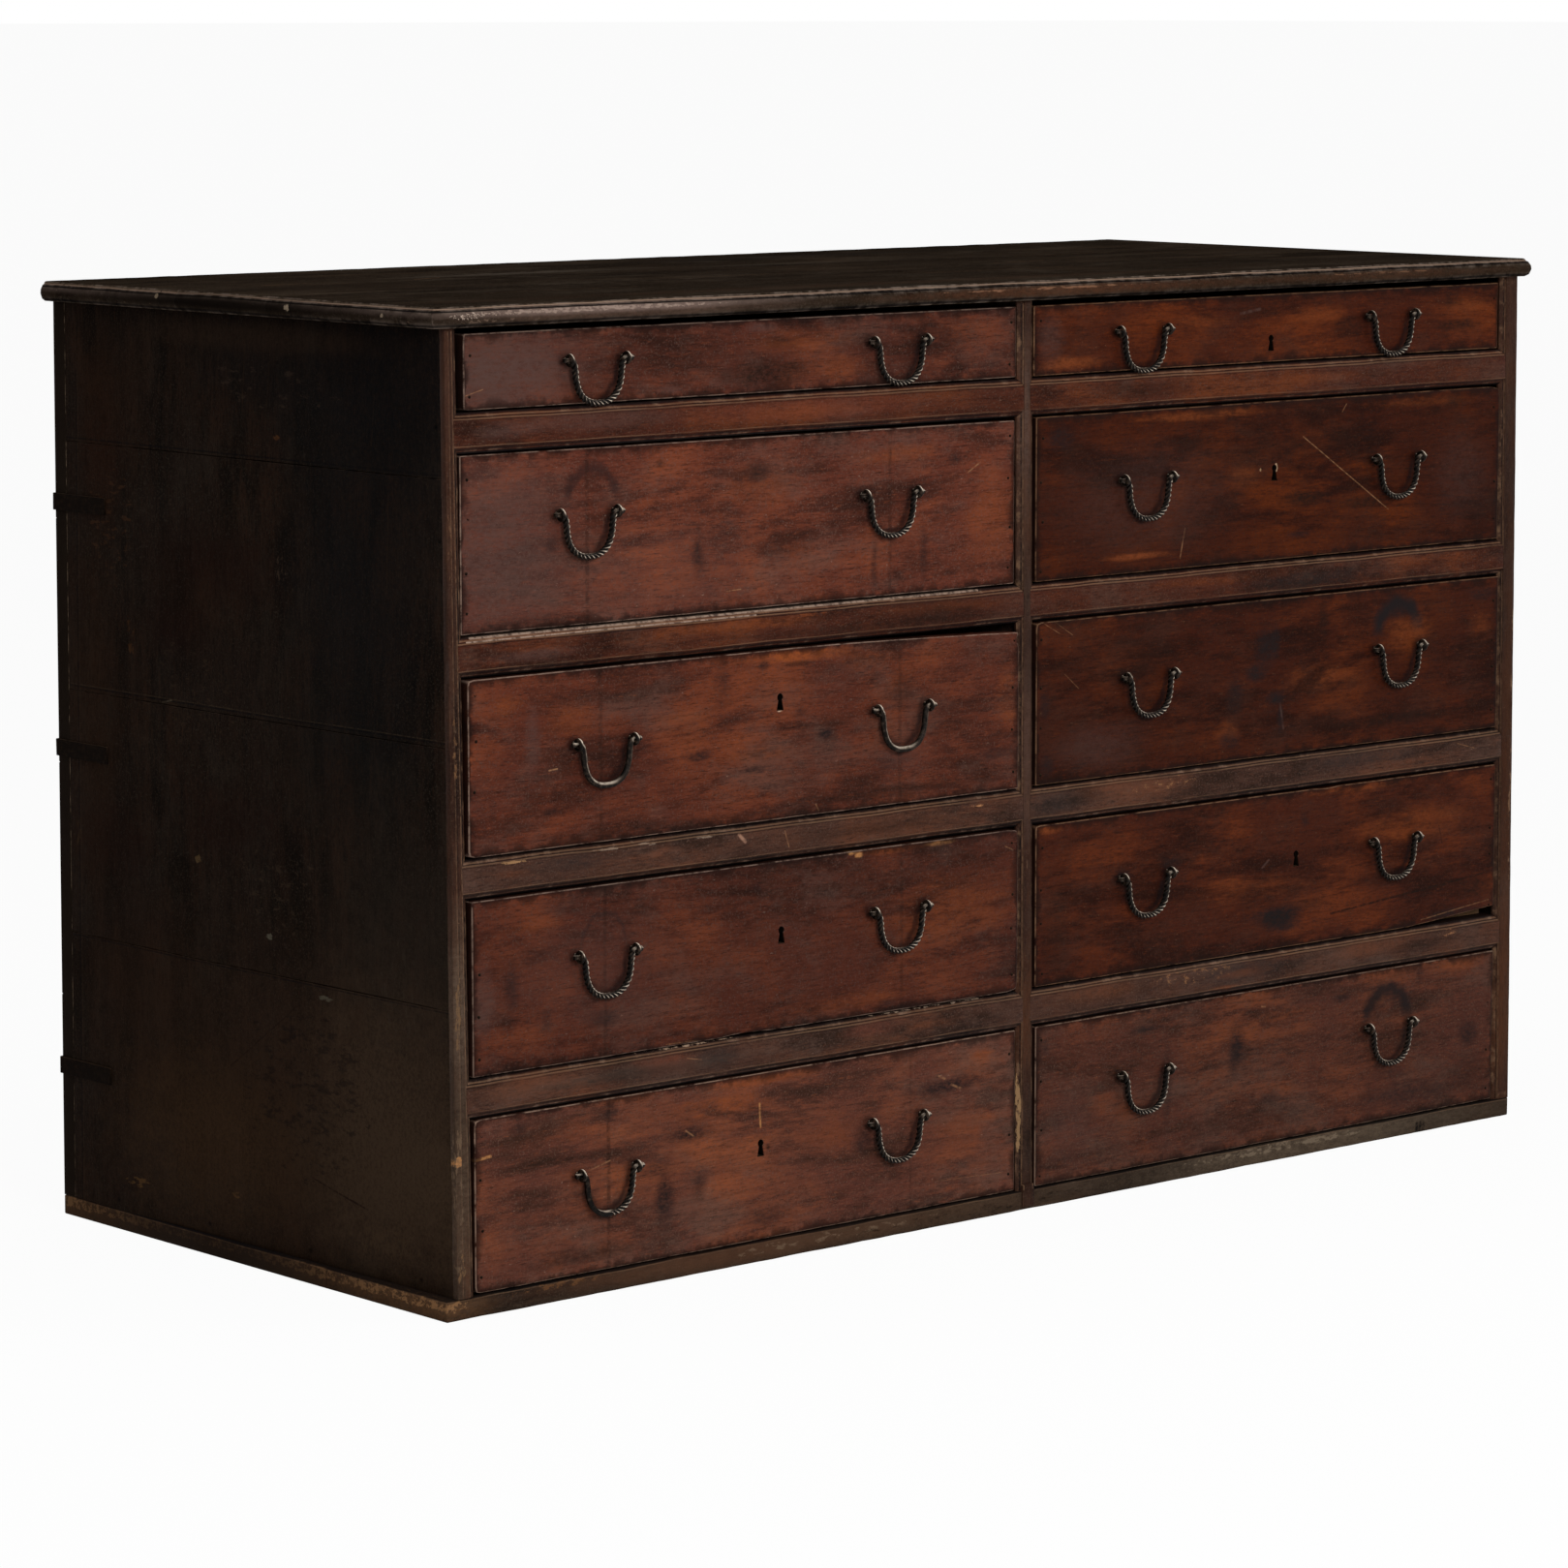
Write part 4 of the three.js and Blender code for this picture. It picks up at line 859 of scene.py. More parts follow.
# Painted highlight and shade lines on the mouldings; greyish painted sheen on the left; dark stains low on the faces
# are painted shade.
RAIL_MARKS = rail_light_and_shade_lines(946, 714) + [
    line(40, 712.8, 760, 712.8, 1.6, 0.75, colour(168, 142, 124)),
    line(34, 709.2, 430, 709.2, 1.2, 0.7, colour(176, 150, 132)), line(60, 706.2, 600, 706.2, 1.0, 0.5, INK_AND_SHADE),
    patch(500, 704, 300, 6, 0.35, EMBER, 0.7, (0.3, 1.0, 1.0)), glow(420, 700, 160, 9, 0.5),
    glow(700, 698, 120, 9, 0.44), glow(260, 697, 60, 9, 0.28), glow(1180, 699, 200, 9, 0.33),
    glow(1500, 700, 100, 9, 0.28), soft_spot(120, 690, 80, 9, 0.4, GREY_BLOT_AND_SHEEN), soft_spot(600, 684, 260, 7, 0.5, SOOT_AND_SHADE),
    soft_spot(1300, 684, 260, 7, 0.5, SOOT_AND_SHADE), soft_spot(500, 928, 250, 18, 0.25, colour(128, 66, 48), 1.2),
    soft_spot(200, 930, 170, 14, 0.3, colour(96, 70, 62)), soft_spot(700, 694, 120, 24, 0.5, colour(34, 20, 15)),
    soft_spot(1300, 690, 160, 14, 0.4, COLD_RAIL), glow(500, 926, 120, 9, 0.22), glow(1300, 926, 160, 9, 0.28),
    soft_spot(90, 925, 60, 12, 0.4, GREY_BLOT_AND_SHEEN), soft_spot(1000, 925, 100, 12, 0.4, SOOT_AND_SHADE),
]
# Painted highlight and shade lines on the mouldings; pale broken bands along the top beads are chips and a painted
# highlight; dark stains low on the faces are painted shade.
LOW_RAIL_MARKS = rail_light_and_shade_lines(482, 250) + [
    soft_spot(110, 234, 90, 16, 0.5, WARM_RAIL), soft_spot(300, 234, 60, 16, 0.45, colour(108, 56, 38)),
    soft_spot(375, 232, 40, 18, 0.6, COLD_RAIL), soft_spot(600, 236, 60, 12, 0.4, colour(110, 62, 48)),
    soft_spot(250, 230, 240, 10, 0.4, colour(74, 62, 54)),
    patch(330, 250, 160, 5, 0.5, colour(176, 146, 122), 0.85, (1.2, 1.0, 3.0)),
    patch(680, 250, 240, 5, 0.5, colour(160, 136, 116), 0.8, (1.2, 1.0, 3.0)),
    soft_spot(960, 234, 90, 16, 0.45, WARM_RAIL),
    patch(1120, 236, 220, 26, 0.3, colour(132, 92, 62), 0.7, (0.8, 1.0, 1.6)),
    soft_spot(1190, 232, 110, 18, 0.5, COLD_RAIL), soft_spot(1400, 234, 110, 14, 0.4, WARM_RAIL),
    patch(1550, 240, 80, 16, 0.3, colour(150, 104, 72), 0.7), soft_spot(1000, 466, 110, 16, 0.45, WARM_RAIL),
    patch(1050, 468, 180, 24, 0.3, colour(132, 92, 62), 0.7, (0.8, 1.0, 1.6)),
    soft_spot(1390, 466, 120, 16, 0.55, COLD_RAIL), soft_spot(880, 462, 50, 20, 0.5, COLD_RAIL),
    soft_spot(180, 466, 90, 12, 0.4, COLD_RAIL), line(404, 472, 413, 464, 3.0, 0.9, colour(150, 112, 92)),
    patch(760, 470, 60, 4, 0.6, colour(176, 124, 84), 0.8),
    patch(300, 475, 260, 5, 0.35, colour(150, 128, 110), 0.6),
    patch(90, 474, 60, 4, 0.6, colour(170, 130, 90), 0.7), glow(300, 465, 60, 9, 0.22),
    soft_spot(600, 460, 160, 10, 0.4, SOOT_AND_SHADE), glow(1190, 230, 60, 8, 0.28), glow(1160, 216, 30, 4, 0.44),
    soft_spot(900, 462, 80, 10, 0.4, SOOT_AND_SHADE), glow(90, 462, 30, 6, 0.22), soft_spot(260, 228, 120, 10, 0.4, SOOT_AND_SHADE),
    glow(700, 230, 60, 8, 0.22), line(470, 470, 476, 452, 1.6, 0.5, PALE),
    line(1560, 470, 1590, 462, 1.2, 0.5, PALE), soft_spot(1500, 228, 90, 10, 0.4, SOOT_AND_SHADE),
    line(330, 236, 350, 232, 1.2, 0.5, PALE),
]
# Painted highlight and painted shade lines along the stiles' mouldings and in the gaps beside the fronts.
STILE_MARKS = [
    soft_spot(20, 330, 22, 130, 0.5, colour(98, 82, 68)), soft_spot(829, 900, 14, 130, 0.4, colour(92, 74, 66)),
    soft_spot(835, 560, 14, 200, 0.4, colour(88, 66, 57)), line(31.0, 20, 16.0, 1030, 1.0, 0.5, LIT_EDGE),
    line(34.0, 20, 19.0, 1030, 2.6, 0.9, INK_AND_SHADE), line(24.0, 20, 14.0, 1030, 1.0, 0.5, INK_AND_SHADE),
    line(22.0, 20, 12.0, 1030, 0.8, 0.35, LIT_EDGE),
    patch(18, 130, 16, 240, 0.4, colour(116, 94, 74), 0.7, (1.2, 1.0, 0.4)),
    line(830.9, 20, 825.4, 1030, 0.9, 0.6, LIT_EDGE), line(828.6, 20, 823.2, 1030, 1.1, 0.8, INK_AND_SHADE),
    line(844.9, 20, 835.9, 1030, 0.9, 0.6, LIT_EDGE), line(847.0, 20, 838.0, 1030, 1.1, 0.8, INK_AND_SHADE),
    line(1644.4, 20, 1633.4, 1030, 0.9, 0.5, LIT_EDGE), line(1642.4, 20, 1631.4, 1030, 1.1, 0.7, INK_AND_SHADE),
    patch(17, 165, 8, 12, 1.0, CHIP, 0.95, (0.8, 1.0, 0.8)),
    patch(18, 320, 10, 130, 0.4, colour(112, 84, 58), 0.75, (1.6, 1.0, 0.6)),
    patch(17, 600, 9, 90, 0.4, colour(112, 80, 54), 0.75, (1.6, 1.0, 0.6)),
    patch(12, 820, 8, 120, 0.35, colour(104, 76, 56), 0.7, (1.6, 1.0, 0.6)),
    soft_spot(20, 130, 26, 220, 0.55, colour(84, 68, 54), 0.8),
    patch(20, 50, 14, 50, 0.5, colour(120, 90, 62), 0.7, (0.8, 1.0, 0.4)),
    patch(16, 500, 16, 500, 0.2, colour(100, 78, 62), 0.6, (0.6, 1.0, 0.2)),
    patch(826, 110, 8, 100, 0.7, colour(150, 118, 84), 0.85, (0.8, 1.0, 0.3)),
    patch(834, 520, 14, 520, 0.15, colour(104, 80, 64), 0.6, (0.6, 1.0, 0.2)),
    patch(1657, 480, 7, 500, 0.4, colour(142, 112, 86), 0.75, (0.8, 1.0, 0.3)),
    patch(1648, 400, 20, 420, 0.1, INK_AND_SHADE, 0.6, (0.6, 1.0, 0.2)), soft_spot(1646, 560, 24, 560, 0.3, SOOT_AND_SHADE, 0.5),
    soft_spot(1650, 400, 14, 500, 0.3, colour(84, 48, 28), 0.8), soft_spot(834, 640, 10, 80, 0.3, SOOT_AND_SHADE, 0.8),
    soft_spot(14, 960, 14, 90, 0.4, colour(70, 44, 34), 0.6),
]
BASE_MARKS = [
    soft_spot(0, 9, 90, 26, 0.6, colour(92, 64, 42), 0.9), soft_spot(420, 10, 460, 18, 0.6, colour(84, 56, 40), 0.7, 0.8),
    patch(0, 12, 80, 16, 0.5, colour(134, 98, 66), 0.8, (1.0, 1.0, 1.4)),
    patch(150, 14, 200, 10, 0.4, colour(104, 70, 44), 0.7, (0.6, 1.0, 1.4)),
    soft_spot(700, 9, 420, 30, 0.5, colour(78, 60, 46), 0.9), soft_spot(1300, 8, 420, 30, 0.7, colour(92, 78, 64), 0.9),
    patch(500, 10, 500, 14, 0.35, colour(110, 90, 72), 0.6, (0.5, 1.0, 1.4)),
    patch(1250, 12, 420, 14, 0.45, colour(126, 110, 92), 0.6, (0.5, 1.0, 1.4)),
    patch(800, 6, 800, 14, 0.25, colour(24, 18, 14), 0.6, (0.4, 1.0, 1.4)),
    side_stain(420, 8, 400, 90, 0.8, colour(30, 22, 17), 0.05, 0.9),
    side_patch(420, 12, 360, 12, 0.25, colour(50, 38, 28), 0.6, (1.0, 1.4, 1.4)),
    side_patch(110, 10, 110, 14, 0.35, colour(66, 49, 35), 0.6, (1.0, 1.4, 1.4)),
    # A painted highlight on the base's upper arris and painted shade in the gap under the drawers (16.6 and 18.4).
    side_line(210, 0, 210, 20, 1.0, 0.8), ledge(16.6, 0.8, 0.3, LIT_EDGE, 0.55), ledge(18.4, 1.6, 0.85, INK_AND_SHADE, 0.25),
]
# Three short gouges in the base, near its right end.
BASE_MARKS += [line(x, -3, x + 1, 7, 4.0, 0.85, INK_AND_SHADE) for x in (1497, 1503, 1509)]

# ---- tones: dark, middle, warm, ashen and rubbed, which also paints the edges' highlight ----


def tones_of(*shades):
    return tuple(colour(*shade) for shade in shades)


def shaded(tones, share, grey=0.0):
    """The tones, lighter or darker by a share, and drawn towards grey."""
    mixed = []
    for red, green, blue, _ in tones:
        middle = (red + green + blue) / 3
        mixed.append((*(share * (c + (middle - c) * grey) for c in (red, green, blue)), 1.0))
    return tuple(mixed)


FRONT_TONES = tones_of((46, 24, 18), (88, 42, 29), (130, 64, 34), (92, 66, 56), (150, 122, 106))
RIGHT_TONES = tones_of((32, 13, 8), (65, 27, 15), (106, 48, 20), (62, 38, 29), (126, 92, 68))
LOW_FRONT_TONES = tones_of((46, 28, 21), (84, 46, 35), (128, 68, 38), (92, 68, 57), (146, 118, 100))
RAIL_TONES = tones_of((34, 16, 11), (68, 34, 24), (108, 56, 30), (82, 60, 50), (132, 102, 84))
LOW_RAIL_TONES = tones_of((34, 22, 17), (68, 45, 36), (100, 59, 40), (86, 66, 57), (138, 110, 93))
STILE_TONES = tones_of((26, 16, 12), (54, 34, 26), (82, 50, 33), (70, 53, 44), (118, 90, 68))
SIDE_TONES = tones_of((13, 10, 8), (31, 22, 17), (48, 32, 23), (43, 36, 30), (62, 50, 40))
TOP_TONES = tones_of((22, 17, 13), (38, 30, 23), (54, 42, 32), (64, 55, 46), (110, 96, 86))
BASE_TONES = tones_of((24, 19, 16), (48, 38, 31), (66, 50, 38), (70, 59, 50), (104, 86, 70))
BOX_TONES = tones_of((94, 66, 44), (136, 104, 74), (150, 112, 76), (128, 108, 86), (160, 130, 96))
BACK_TONES = tones_of((48, 37, 28), (84, 66, 50), (110, 82, 58), (102, 86, 70), (132, 112, 92))

# How light each front is, and how grey.
SHADES = {
    "left_drawer_1": (0.85, 0.1), "left_drawer_2": (1.07, 0.07), "left_drawer_3": (0.9, 0.05),
    "left_drawer_4": (0.73, 0.09), "left_drawer_5": (1.14, 0.05), "right_drawer_1": (1.05, 0.0),
    "right_drawer_2": (0.74, 0.0), "right_drawer_3": (0.81, 0.03), "right_drawer_4": (1.02, 0.05),
    "right_drawer_5": (0.86, 0.04),
}

# ---- marks of the parts that the photograph doesn't show ----

BACK_MARKS = [
    soft_spot(500, 300, 420, 160, 0.5, UMBER, 1.2), soft_spot(1200, 760, 420, 200, 0.45, UMBER, 1.2),
    soft_spot(820, 40, 800, 60, 0.6, SOOT_AND_SHADE, 1.0),
]
for z in (188, 402, 618, 846):
    BACK_MARKS += [line(10, z, 1640, z + 1, 1.6, 0.9, INK_AND_SHADE), line(10, z - 2.4, 1640, z - 1.4, 0.9, 0.5, UMBER)]
for z in (60, 140, 240, 352, 452, 568, 668, 796, 896, 990):
    BACK_MARKS += [soft_spot(x + z % 5, z, 4, 4, 0.9, INK_AND_SHADE, 0.3) for x in (14, 828, 1632)]
for x in (3, 1638):
    BACK_MARKS.append(oval(soft_mark, FRONT, x, 520, 36, 3000, colour(24, 18, 14), 0.97, Ragged=0.02, Mottle=1.0))
BOX_MARKS = [side_line(y, 30, y, 1030, 0.9, 0.5) for y in (41, 641)]
for top in (212, 444, 676, 908, 1038):
    for drop in (26, 84, 150) if top < 1000 else (22, 62):
        for y in (30, 652):
            z = top - drop
            BOX_MARKS.append(side_stain(y, z, 10, 9, 0.55, colour(70, 44, 28), 0.9))
            BOX_MARKS.append(side_stain(y, z, 3, 3, 0.95, INK_AND_SHADE, 0.2))

# ---- finishes ----

bail_places = {
    joint["child"]: Vector(joint["pos_m"]) for joint in frame["joints"] if joint["type"] == "hinge"
}


def front_grime_and_shade(drawer):
    """Darkening of a front: grime and painted shade along its rim, a painted shadow with grime below each bail, and
    painted shade round its eyes.
    """
    low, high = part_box(f"{drawer}_front")
    grime_and_shade = [(rim_grime_and_shade, colour(24, 14, 11), 0.85, {"Low": tuple(low), "High": tuple(high), "Reach": 0.009})]
    for which in "ab":
        x, _, z = bail_places[f"{drawer}_bail_{which}"]
        bail_shadow = {"Centre": (x + 0.0015, 0, z), "Size": (0.03, 1, BAIL_DROP), "Breadth": 0.2, "Turn": -1.0}
        grime_and_shade.append((bail_rub_and_shadow, INK_AND_SHADE, 0.62, bail_shadow))
        # Painted shade round each eye.
        for side in (-HALF_SPAN, HALF_SPAN):
            grime_and_shade.append((soft_mark, INK_AND_SHADE, 0.7, {"Centre": (x + side, 0, z), "Size": (0.014, 1, 0.012), "Ragged": 0.3}))
    return grime_and_shade


front_finish = {}
for number, (drawer, marks) in enumerate(DRAWER_MARKS.items()):
    tones = LOW_FRONT_TONES if drawer.endswith("5") else FRONT_TONES if drawer.startswith("left") else RIGHT_TONES
    front_finish[drawer] = old_wood(
        f"{drawer}_wood", shaded(tones, *SHADES[drawer]), seed=number * 1.7, marks=marks + front_grime_and_shade(drawer), rub=0.46
    )
rail_wood = old_wood("rail_wood", RAIL_TONES, seed=21.0, marks=RAIL_MARKS, rub=0.6, edge_first=True)
low_rail_wood = old_wood("low_rail_wood", LOW_RAIL_TONES, seed=24.0, marks=LOW_RAIL_MARKS, rub=0.6, edge_first=True)
stile_wood = old_wood("stile_wood", STILE_TONES, ALONG_Z, 31.0, STILE_MARKS, rub=0.58, edge_first=True)
side_wood = old_wood("side_wood", SIDE_TONES, ALONG_Z, 41.0, SIDE_MARKS, (0.6, 0.85), specular=0.006, contrast=1.7)
back_wood = old_wood("back_wood", BACK_TONES, ALONG_X, 44.0, BACK_MARKS, (0.7, 0.9), specular=0.01, contrast=1.2)
top_wood = old_wood("top_wood", TOP_TONES, ALONG_X, 51.0, TOP_MARKS, (0.6, 0.85), 0.52, 0.0, 1.2, edge_first=True)
base_wood = old_wood("base_wood", BASE_TONES, ALONG_X, 61.0, BASE_MARKS, (0.6, 0.85), 0.6, 0.01, edge_first=True)
box_wood = old_wood("box_wood", BOX_TONES, ALONG_Y, 71.0, BOX_MARKS, (0.7, 0.9), specular=0.05)
# The irons' painted highlight, on their ridges and on the sides that face up, forward and to the right.
HIGHLIGHT_AND_RUB_BRIGHT = colour(226, 210, 190)
bail_iron = black_iron("bail_iron", colour(11, 8, 6), colour(92, 76, 64), HIGHLIGHT_AND_RUB_BRIGHT, 0.95, ridged=True)
pin_iron = black_iron("pin_iron", colour(14, 10, 7), colour(84, 68, 56), HIGHLIGHT_AND_RUB_BRIGHT, 0.95)
strap_iron = black_iron("strap_iron", colour(19, 14, 11), colour(40, 29, 21), colour(74, 58, 44), 0.6, (0.7, 0.9), 0.01)

# ---- case ----

# Metres. The left side leans in over the case's height; only the skin within LEANING_DEPTH of it follows.
CASE_HEIGHT, CASE_DEPTH = 1.05, 0.7
LEAN_IN, LEANING_DEPTH, LEAN_FADE = 0.007, 0.018, 0.01
# The top's left end is short by the first length in front and by both at the back, fading in from BEND_FROM.
TOP_SHORT_FRONT, TOP_SHORT_BACK = 0.003, 0.009
BEND_FROM, BEND_RUN = -0.6, 0.2


def steps(low, high, pitch):
    """Places between two ends, evenly spaced, about a pitch apart."""
    count = max(2, round((high - low) / pitch))
    return [low + (high - low) * i / count for i in range(1, count)]


def within(value):
    """The value, held between 0 and 1."""
    return min(1.0, max(0.0, value))


def aged_copy(node, edge, pitch, amount, size, axis=0):
    """A copy of a CAD board with softened edges and a surface out of true.

    edge is the rounding's width; the board is cut every pitch along an axis and wears by an amount, in waves of a size.
    """
    piece = bpy.data.objects.new(f"aged_{node}", frame["nodes"][node].data.copy())
    bpy.context.scene.collection.objects.link(piece)
    open_mesh(piece)
    bpy.ops.mesh.remove_doubles(threshold=0.00001)
    bpy.ops.mesh.dissolve_limited(angle_limit=math.radians(0.4))
    close_mesh()
    soften(piece, edge, 28)
    low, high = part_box(node)
    saw(piece, axis, steps(low[axis], high[axis], pitch))
    wear(piece, amount, size)
    smooth_over(piece)
    return piece


def draw_in(piece):
    """The left side leans in by some millimetres towards its top; what stands further right stays."""
    inner = at(0, 0, 0).x + LEANING_DEPTH
    for point in piece.data.vertices:
        p = point.co
        if p.x < inner:
            p.x += LEAN_IN * within(p.z / CASE_HEIGHT) * within((inner - p.x) / LEAN_FADE)


def draw_in_top(piece):
    """The top's left end runs a little out of square, in towards the back."""
    for point in piece.data.vertices:
        p = point.co
        if p.x < BEND_FROM:
            back = within((p.y - at(0, 0, 0).y) / CASE_DEPTH)
            p.x += (TOP_SHORT_FRONT + TOP_SHORT_BACK * back) * within((BEND_FROM - p.x) / BEND_RUN)


def worn_foot():
    """The small block nailed on at the foot of the centre stile."""
    foot = block(at(839, 6.5, 13), (0.018, 0.019, 0.026))
    cut_strips(foot, 2, 8)
    soften(foot, 0.0012, 60)
    wear(foot, 0.0016, 0.02)
    smooth_over(foot)
    return foot


for node in ("top_plank_front", "top_plank_middle", "top_plank_back"):
    plank = aged_copy(node, edge=0.0006, pitch=0.012, amount=0.0011, size=0.035)
    draw_in_top(plank)
    give(plank, top_wood, "case", "top_wood", node)
base_board = aged_copy("bottom_board", edge=0.0016, pitch=0.012, amount=0.0016, size=0.05)
give(base_board, base_wood, "case", "case_wood", "bottom_board")
for node in ("left_side_panel", "right_side_panel"):
    panel = aged_copy(node, edge=0.0005, pitch=0.05, amount=0.0006, size=0.12, axis=1)
    draw_in(panel)
    give(panel, side_wood, "case", "case_wood", node)
back_boards = aged_copy("back_panel", edge=0.0008, pitch=0.06, amount=0.0008, size=0.15)
draw_in(back_boards)
give(back_boards, back_wood, "case", "case_wood", "back_panel")
for node in ("left_stile", "right_stile", "centre_partition"):
    upright = aged_copy(node, edge=0.0007, pitch=0.012, amount=0.0009, size=0.03, axis=2)
    draw_in(upright)
    if node == "centre_partition":
        upright = join_up(upright.name, [upright, worn_foot()])
    give(upright, stile_wood, "case", "facing_wood", node)
for number in (1, 2, 3, 4):
    node = f"divider_{number}"
    rail = aged_copy(node, edge=0.0007, pitch=0.02, amount=0.0008, size=0.03)
    give(rail, rail_wood if number < 3 else low_rail_wood, "case", "facing_wood", node)
for side in ("left", "right"):
    for number in (1, 2, 3):
        node = f"{side}_corner_strap_{number}"
        strap = aged_copy(node, edge=0.0006, pitch=0.008, amount=0.0007, size=0.02, axis=1)
        draw_in(strap)
        give(strap, strap_iron, "case", "iron", node)

# ---- drawers ----

# Metres. The eyes' middles stand off the face of the front.
EYE_STAND_OFF, FRONT_THICK = 0.008, 0.022
KEY_EYE_RADIUS, KEY_FOOT_WIDE, KEY_FOOT_HIGH, KEY_CUT_DEPTH = 0.0043, 0.0102, 0.0156, 0.05
LOCK_WIDE, LOCK_THICK, LOCK_HIGH, LOCK_RIM = 0.062, 0.011, 0.044, 0.006
RING_RADIUS, RING_BAR, NECK_RADIUS = 0.0051, 0.0021, 0.0024
LEG_WIDE, LEG_THICK, LEG_LONG = 0.0034, 0.0016, 0.017
NAIL_RADIUS, NAIL_THICK, NAIL_INSET = 0.0021, 0.0022, 0.009
BAR_RADIUS, TWIST_PITCH, TIP_LENGTH = 0.0036, 0.0225, 0.0125
BAR_CUTS, PLAIN_RIDGE = 150, 0.62

# Each keyhole's middle, in shares of its front's width and height.
KEYHOLES = {
    "left_drawer_3": (0.545, 0.69), "left_drawer_4": (0.545, 0.56), "left_drawer_5": (0.508, 0.55),
    "right_drawer_1": (0.492, 0.28), "right_drawer_2": (0.495, 0.55), "right_drawer_4": (0.548, 0.565),
}

# Worn places of the fronts' edges: x, z, half width, half height, and the push to the right and up.
CORNERS = {
    "left_drawer_3": [(821, 661, 12, 9, -4, -5), (33, 670, 5, 5, 1.5, -1.5), (34, 484, 5, 5, 1.5, 1.5)],
    "left_drawer_4": [(821, 438, 8, 7, -2.5, -2.5), (821, 252, 9, 8, -3, 3), (412, 252, 30, 5, 0, 2.2)],
    "right_drawer_2": [(1630, 902, 14, 10, -3, -3.5)],
    "left_drawer_5": [(40, 206, 7, 6, 2, -2), (41, 20, 6, 5, 1.5, 1.5)],
    "right_drawer_4": [(847, 438, 6, 5, 2, -2), (1330, 439, 22, 5, 0, -1.6)],
    "right_drawer_3": [(848, 670, 7, 5, 2, -2)],
    "left_drawer_1": [(32, 1028, 5, 4, 1.5, -1.5), (32, 948, 5, 4, 1.5, 1.5)],
}

# Half of a bail's line from its tip inwards, in shares of the half span and the drop.
BAIL_PATH = [
    (1.22, 0), (1.01, 0), (0.93, -0.01), (0.86, -0.07), (0.815, -0.24), (0.775, -0.5), (0.63, -0.78), (0.36, -0.95),
    (0, -1),
]
BAIL_KINDS = {"left_drawer_3_bail_a": "plain", "left_drawer_3_bail_b": "plain", "left_drawer_5_bail_a": "half"}


def front_board(name, low, high):
    """A board of the front, cut into a mesh that can wear."""
    board = block((low + high) / 2, high - low)
    board.name = name
    cut_strips(board, 0, 110)
    cut_strips(board, 2, 26 if high.z - low.z > 0.1 else 14)
    soften(board, 0.0019, 60, segments=3)
    wear(board, 0.001, 0.045)
    return board


def skew_front(drawer, board, low, high):
    """Shrunk, skewed and split edges of single fronts."""
    for point in board.data.vertices:
        p = point.co
        x = p.x * 1000 + CASE_MIDDLE.x
        up = (p.z - low.z) / (high.z - low.z)
        if drawer == "left_drawer_3":
            p.z -= 0.0085 * max(0.0, (x - 480) / 340) ** 1.6 * up ** 3
        elif drawer == "right_drawer_4" and x > 1480:
            p.z += 0.011 * ((x - 1480) / 155) * (1 - up) ** 6
        elif drawer == "left_drawer_2":
            p.z -= 0.0022 * up ** 4 * (x - 30) / 790


def key_slot(x, face, z):
    """Cutter for a keyhole: a round eye over a flared foot."""
    eye = rod(20, KEY_EYE_RADIUS, KEY_CUT_DEPTH, (x, face, z + 0.0053))
    foot = block((x, face, z - 0.0017), (KEY_FOOT_WIDE, KEY_CUT_DEPTH, KEY_FOOT_HIGH))
    resize(foot, (0.4, 1, 1), lambda p: p.z > z, (x, face, z))
    finish_modifier(eye, "BOOLEAN", object=foot, operation="UNION", solver="EXACT")
    bpy.data.objects.remove(foot)
    return eye


def keyhole_shade_skin(slot, face):
    """The black skin inside a keyhole, a little below the face: painted shade for the hole."""
    shade_skin = copy_of(slot)
    shift(shade_skin, (0, 0.0257, 0), lambda p: p.y < face)
    shift(shade_skin, (0, -0.004, 0), lambda p: p.y > face + 0.01)
    pick(shade_skin, "faces", lambda *corners: max(p.y for p in corners) - min(p.y for p in corners) < 0.001)
    bpy.ops.mesh.delete(type="FACE")
    close_mesh()
    finish_modifier(shade_skin, "SOLIDIFY", thickness=0.0004, offset=-1)
    return shade_skin


def lock_case(x, back, foot):
    """A lock's iron case on the back of its front, its rim raised round a sunk plate."""
    lock = block((x, back + LOCK_THICK / 2, foot + LOCK_HIGH / 2), (LOCK_WIDE, LOCK_THICK, LOCK_HIGH))
    pick(lock, "faces", lambda *corners: all(p.y > back + 0.01 for p in corners))
    bpy.ops.mesh.inset(thickness=LOCK_RIM, depth=0)
    bpy.ops.transform.translate(value=(0, -0.001, 0))
    close_mesh()
    soften(lock, 0.0008, 40)
    return lock


def split_pin_pattern():
    """One eye with its neck and the two legs clenched over behind the board, about the eye's middle."""
    upright = (0, math.pi / 2, 0)
    bpy.ops.mesh.primitive_torus_add(
        major_radius=RING_RADIUS, minor_radius=RING_BAR, major_segments=24, minor_segments=10, rotation=upright
    )
    ring = bpy.context.object
    settle(ring)
    neck = rod(10, NECK_RADIUS, 0.006, (0, 0.0066, 0))
    cut_strips(neck, 1, 3)
    resize(neck, (1.25, 1, 1.25), lambda p: p.y > 0.0075)
    parts = [ring, neck]
    for turn in (-1, 1):
        leg = block((0, 0.0312, turn * LEG_LONG / 2), (LEG_WIDE, LEG_THICK, LEG_LONG))
        resize(leg, (0.35, 0.6, 1), lambda p: abs(p.z) > 0.012, (0, 0.0308, 0))
        soften(leg, 0.0004, 30)
        parts.append(leg)
    pin = join_up("split_pin_pattern", parts)
    wear(pin, 0.0003, 0.004)
    smooth_over(pin, 60)
    return pin


